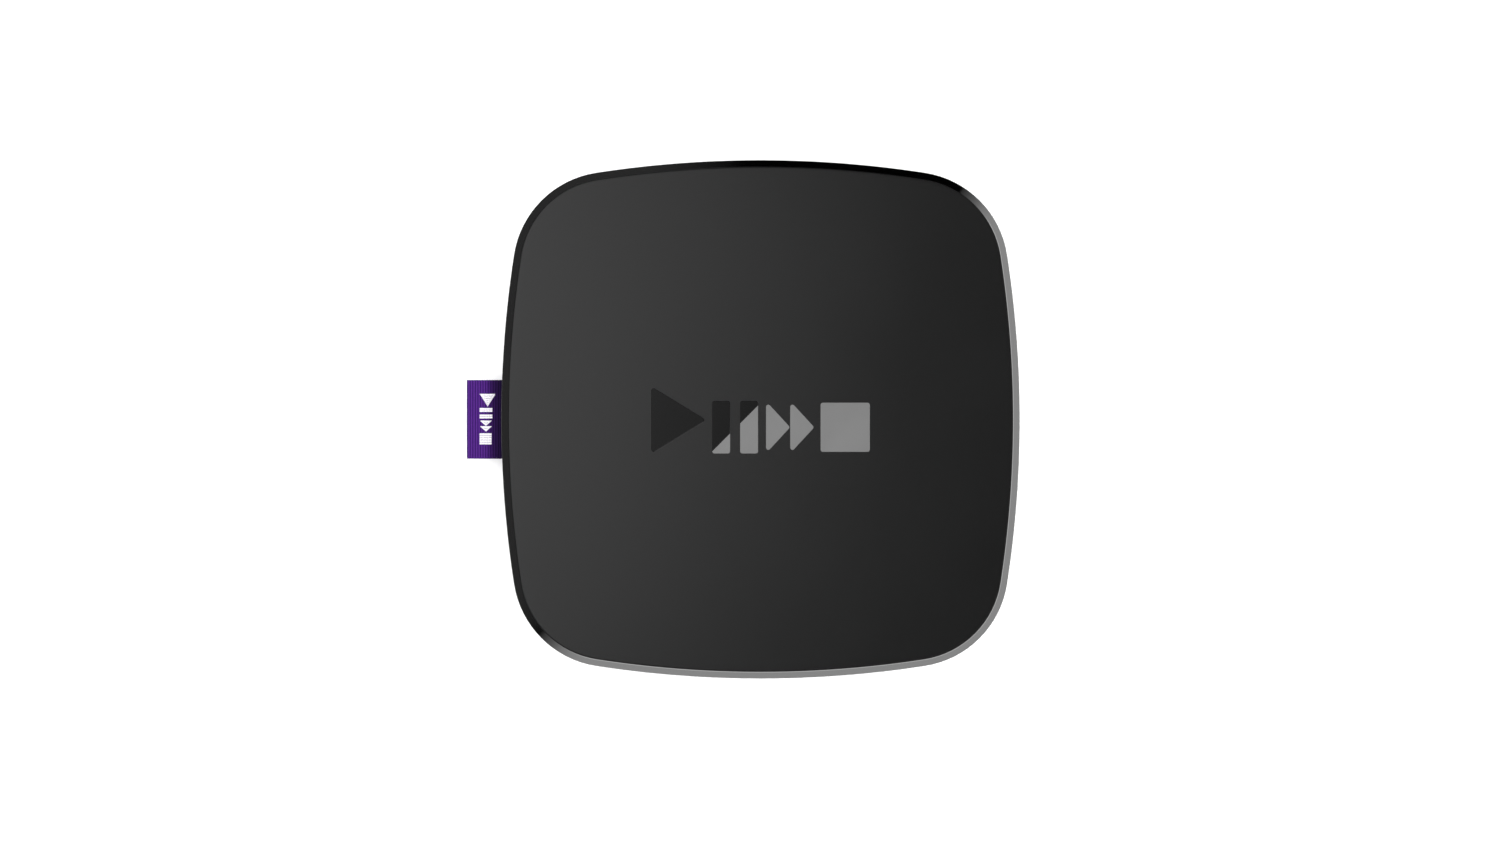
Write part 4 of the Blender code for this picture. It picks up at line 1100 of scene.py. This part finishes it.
def card_slot():
    z = ON_BOARD + 1.0
    outer, inner = rectangle(14.6, 2.0, 0.3, 4), rectangle(14.0, 1.46, 0.2, 4)
    made = piece("card_socket_sheet", sheet_socket(outer, inner, (CARD_X, MOUTH_Y, z), *REAR, 15.2, 13.8, lip=0.07), TINNED)
    # Finger notch in the upper sheet.
    combine(made, stack([(circle(1.5, 32), 0.0), (circle(1.5, 32), 2.0)], (CARD_X, MOUTH_Y + 0.35, z + 0.3), (1, 0, 0), (0, 1, 0), (0, 0, 1)))
    fit(made, replaces=("card_socket",))


def audio_shutter():
    """Sprung door: a knuckle round its hinge pin, chamfered edges and a shallow recess in its face."""
    y, z = MOUTH_Y - 1.0, ON_BOARD + 4.9 + 3.5
    profile = []
    for i in range(9):
        a = math.radians(-10 + 200 * i / 8)
        profile.append((y + 0.4 * math.cos(a), z + 0.29 * math.sin(a)))
    low = z - 7.25
    profile += [(y - 0.4, z - 0.3), (y - 0.4, low + 0.12), (y - 0.28, low), (y + 0.28, low), (y + 0.4, low + 0.12), (y + 0.4, z - 0.3)]
    width = 3.75
    rings = []
    for x, inward in ((-width, 0.1), (-width + 0.1, 0.0), (width - 0.1, 0.0), (width, 0.1)):
        cy, cz = y, (z + low) / 2
        rings.append([(OPTIC_X + x, cy + (py - cy) * (1 - inward / 0.4), cz + (pz - cz) * (1 - inward / 3.6)) for py, pz in profile])
    made = piece("optical_shutter_door", loft(rings), CONNECTOR)
    recess = [(rectangle(5.2, 4.6, 0.5, 4), y + 0.28), (rectangle(5.6, 5.0, 0.6, 4), y + 0.41), (rectangle(5.6, 5.0, 0.6, 4), y + 1.0)]
    combine(made, stack(recess, (OPTIC_X, 0, low + 3.1), *REAR))
    made.data.set_sharp_from_angle(angle=math.radians(12))
    fit(made, body="optical_flap", replaces=("optical_shutter",))


def audio_jack():
    """Moulded body with an eased square mouth."""
    z = ON_BOARD + 4.9
    outer = rectangle(9.7, 9.8, 0.45, 4)
    made = piece("optical_jack_body", stack([(outer, -13.5), (outer, -0.12), (rectangle(9.46, 9.56, 0.35, 4), 0.0)], (OPTIC_X, MOUTH_Y, z), *REAR), CONNECTOR)
    square = rectangle(8.2, 8.2, 0.2, 4)
    wide = rectangle(8.7, 8.7, 0.3, 4)
    combine(made, stack([(square, -9.6), (square, -0.3), (wide, 0.0), (wide, 1.0)], (OPTIC_X, MOUTH_Y, z), *REAR))
    fit(made, replaces=("optical_jack",))


def power_socket():
    """Body behind the panel and a round nose with a dished mouth."""
    made = piece("power_jack_body", block((DC_X - 4.5, MOUTH_Y - 14.2, ON_BOARD), (DC_X + 4.5, 54.4, ON_BOARD + 11.0), 0.3), CONNECTOR)
    combine(made, turned([(3.8, 50.0), (3.8, 55.88), (3.74, 56.02), (3.6, 56.1), (3.0, 56.1)], (DC_X, 0, DC_Z), (0, 1, 0), 48), "UNION")
    combine(made, turned([(2.95, MOUTH_Y - 9.5), (2.95, 55.7), (3.12, 55.95), (3.3, 56.1), (3.5, 57.0)], (DC_X, 0, DC_Z), (0, 1, 0), 48))
    fit(made, replaces=("power_jack",))
    pin = turned([(1.0, MOUTH_Y - 9.2), (1.0, 54.5), (0.97, 54.75), (0.86, 54.98), (0.66, 55.12), (0.4, 55.19)], (DC_X, 0, DC_Z), (0, 1, 0), 32)
    fit(piece("power_jack_pin_turned", pin, BRIGHT_STEEL), replaces=("power_jack_pin",))


def finder_key():
    """Oval cap with a soft crown, leaning with the flank; its flange sits behind the wall."""
    lean = 1.5 * TAPER * ((RIDGE_Z - FINDER_Z) / (RIDGE_Z - COVER_FOOT_Z)) ** 0.5 / (RIDGE_Z - COVER_FOOT_Z)
    face = BODY_HALF - flank_inset(FINDER_Z) - FINDER_Y ** 2 / (2 * R_SIDE) + 0.55
    steps = 12

    def ring(width, height, x, slope=0.0):
        return [(x + slope * b, FINDER_Y + a, FINDER_Z + b) for a, b in rectangle(width, height, height / 2 - 0.01, steps)]

    rings = [ring(3.0, 3.0, 55.6), ring(3.0, 3.0, 56.9), ring(12.4, 8.0, 56.9), ring(12.4, 8.0, 57.8), ring(9.8, 5.8, 57.8),
             ring(9.8, 5.8, face - 0.62, lean), ring(9.74, 5.74, face - 0.44, lean), ring(9.56, 5.56, face - 0.28, lean),
             ring(9.28, 5.28, face - 0.17, lean), ring(8.9, 4.9, face - 0.115, lean), ring(7.6, 3.6, face - 0.05, lean),
             ring(6.2, 2.2, face - 0.015, lean), ring(4.6, 0.6, face, lean)]
    fit(piece("finder_button_cap", loft(rings), KEY, smooth=40), body="finder_key", replaces=("finder_button",))


def small_round_parts():
    """Plunger behind the pinhole, the emitter's domed lens and the light pipe's eased face."""
    plunger = turned([(0.65, 51.0), (0.8, 51.15), (0.8, 53.36), (0.77, 53.47), (0.69, 53.55), (0.5, 53.6)], (RESET_X, 0, RESET_Z), (0, 1, 0), 32)
    fit(piece("reset_plunger_turned", plunger, WHITE_PLASTIC, smooth=40), body="reset_key", replaces=("reset_plunger",))
    y, z = MOUTH_Y - 9.3, ON_BOARD + 4.7
    lens = turned([(1.2, y), (1.4, y + 0.1), (1.4, y + 0.55), (1.3, y + 0.72), (1.05, y + 0.86), (0.7, y + 0.95), (0.3, y + 0.99)], (OPTIC_X, 0, z), (0, 1, 0), 32)
    fit(piece("optical_emitter_lens", lens, CLEAR, smooth=50), replaces=("optical_emitter",))
    end = -(BODY_HALF - flank_inset(LIGHT_Z)) - 0.05
    pipe = turned([(0.85, -49.4), (1.0, -49.25), (1.0, end + 0.16), (0.95, end + 0.08), (0.8, end + 0.03), (0.4, end)], (0, 0, LIGHT_Z), (0, 1, 0), 32)
    fit(piece("light_pipe_rod", pipe, CLEAR, smooth=50), replaces=("light_pipe",))


video_socket()
usb_socket()
network_socket()
card_slot()
audio_jack()
audio_shutter()
power_socket()
finder_key()
small_round_parts()


# =================================================================================
# Carried-over CAD pieces
# =================================================================================
CARRIED = {
    BLACK_STEEL: ["housing_screw_1", "housing_screw_2", "housing_screw_3", "housing_screw_4"],
    BRIGHT_STEEL: ["board_screw_1", "board_screw_2", "board_screw_3", "board_screw_4"],
    BASE: ["tag_retainer"],
    BOARD: ["main_board", "antenna_left", "antenna_right"],
    CHIP: ["soc_chip", "ram_chip_left", "ram_chip_right", "flash_chip", "power_chip", "network_transformer"],
    FERRITE: ["power_inductor_1", "power_inductor_2"],
    TINNED: ["clock_crystal", "wifi_shield"],
    THERMAL: ["thermal_pad"],
    ALUMINIUM: ["heat_spreader"],
    CAN: ["bulk_capacitor_1", "bulk_capacitor_2"],
    GOLD: ["antenna_plug_left", "antenna_plug_right"],
    COAX: ["antenna_lead_left", "antenna_lead_right"],
    CONNECTOR: ["hdmi_tongue", "usb_tongue", "card_ejector", "reset_switch", "finder_switch"],
    WHITE_PLASTIC: ["finder_plunger", "status_led"],
    IR_RESIN: ["ir_receiver"],
}
for paint, names in CARRIED.items():
    for name in names:
        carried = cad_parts[name]
        carried.data.materials.clear()
        carried.data.materials.append(paint)
        carried.data.shade_smooth()
        carried.data.set_sharp_from_angle(angle=math.radians(30))
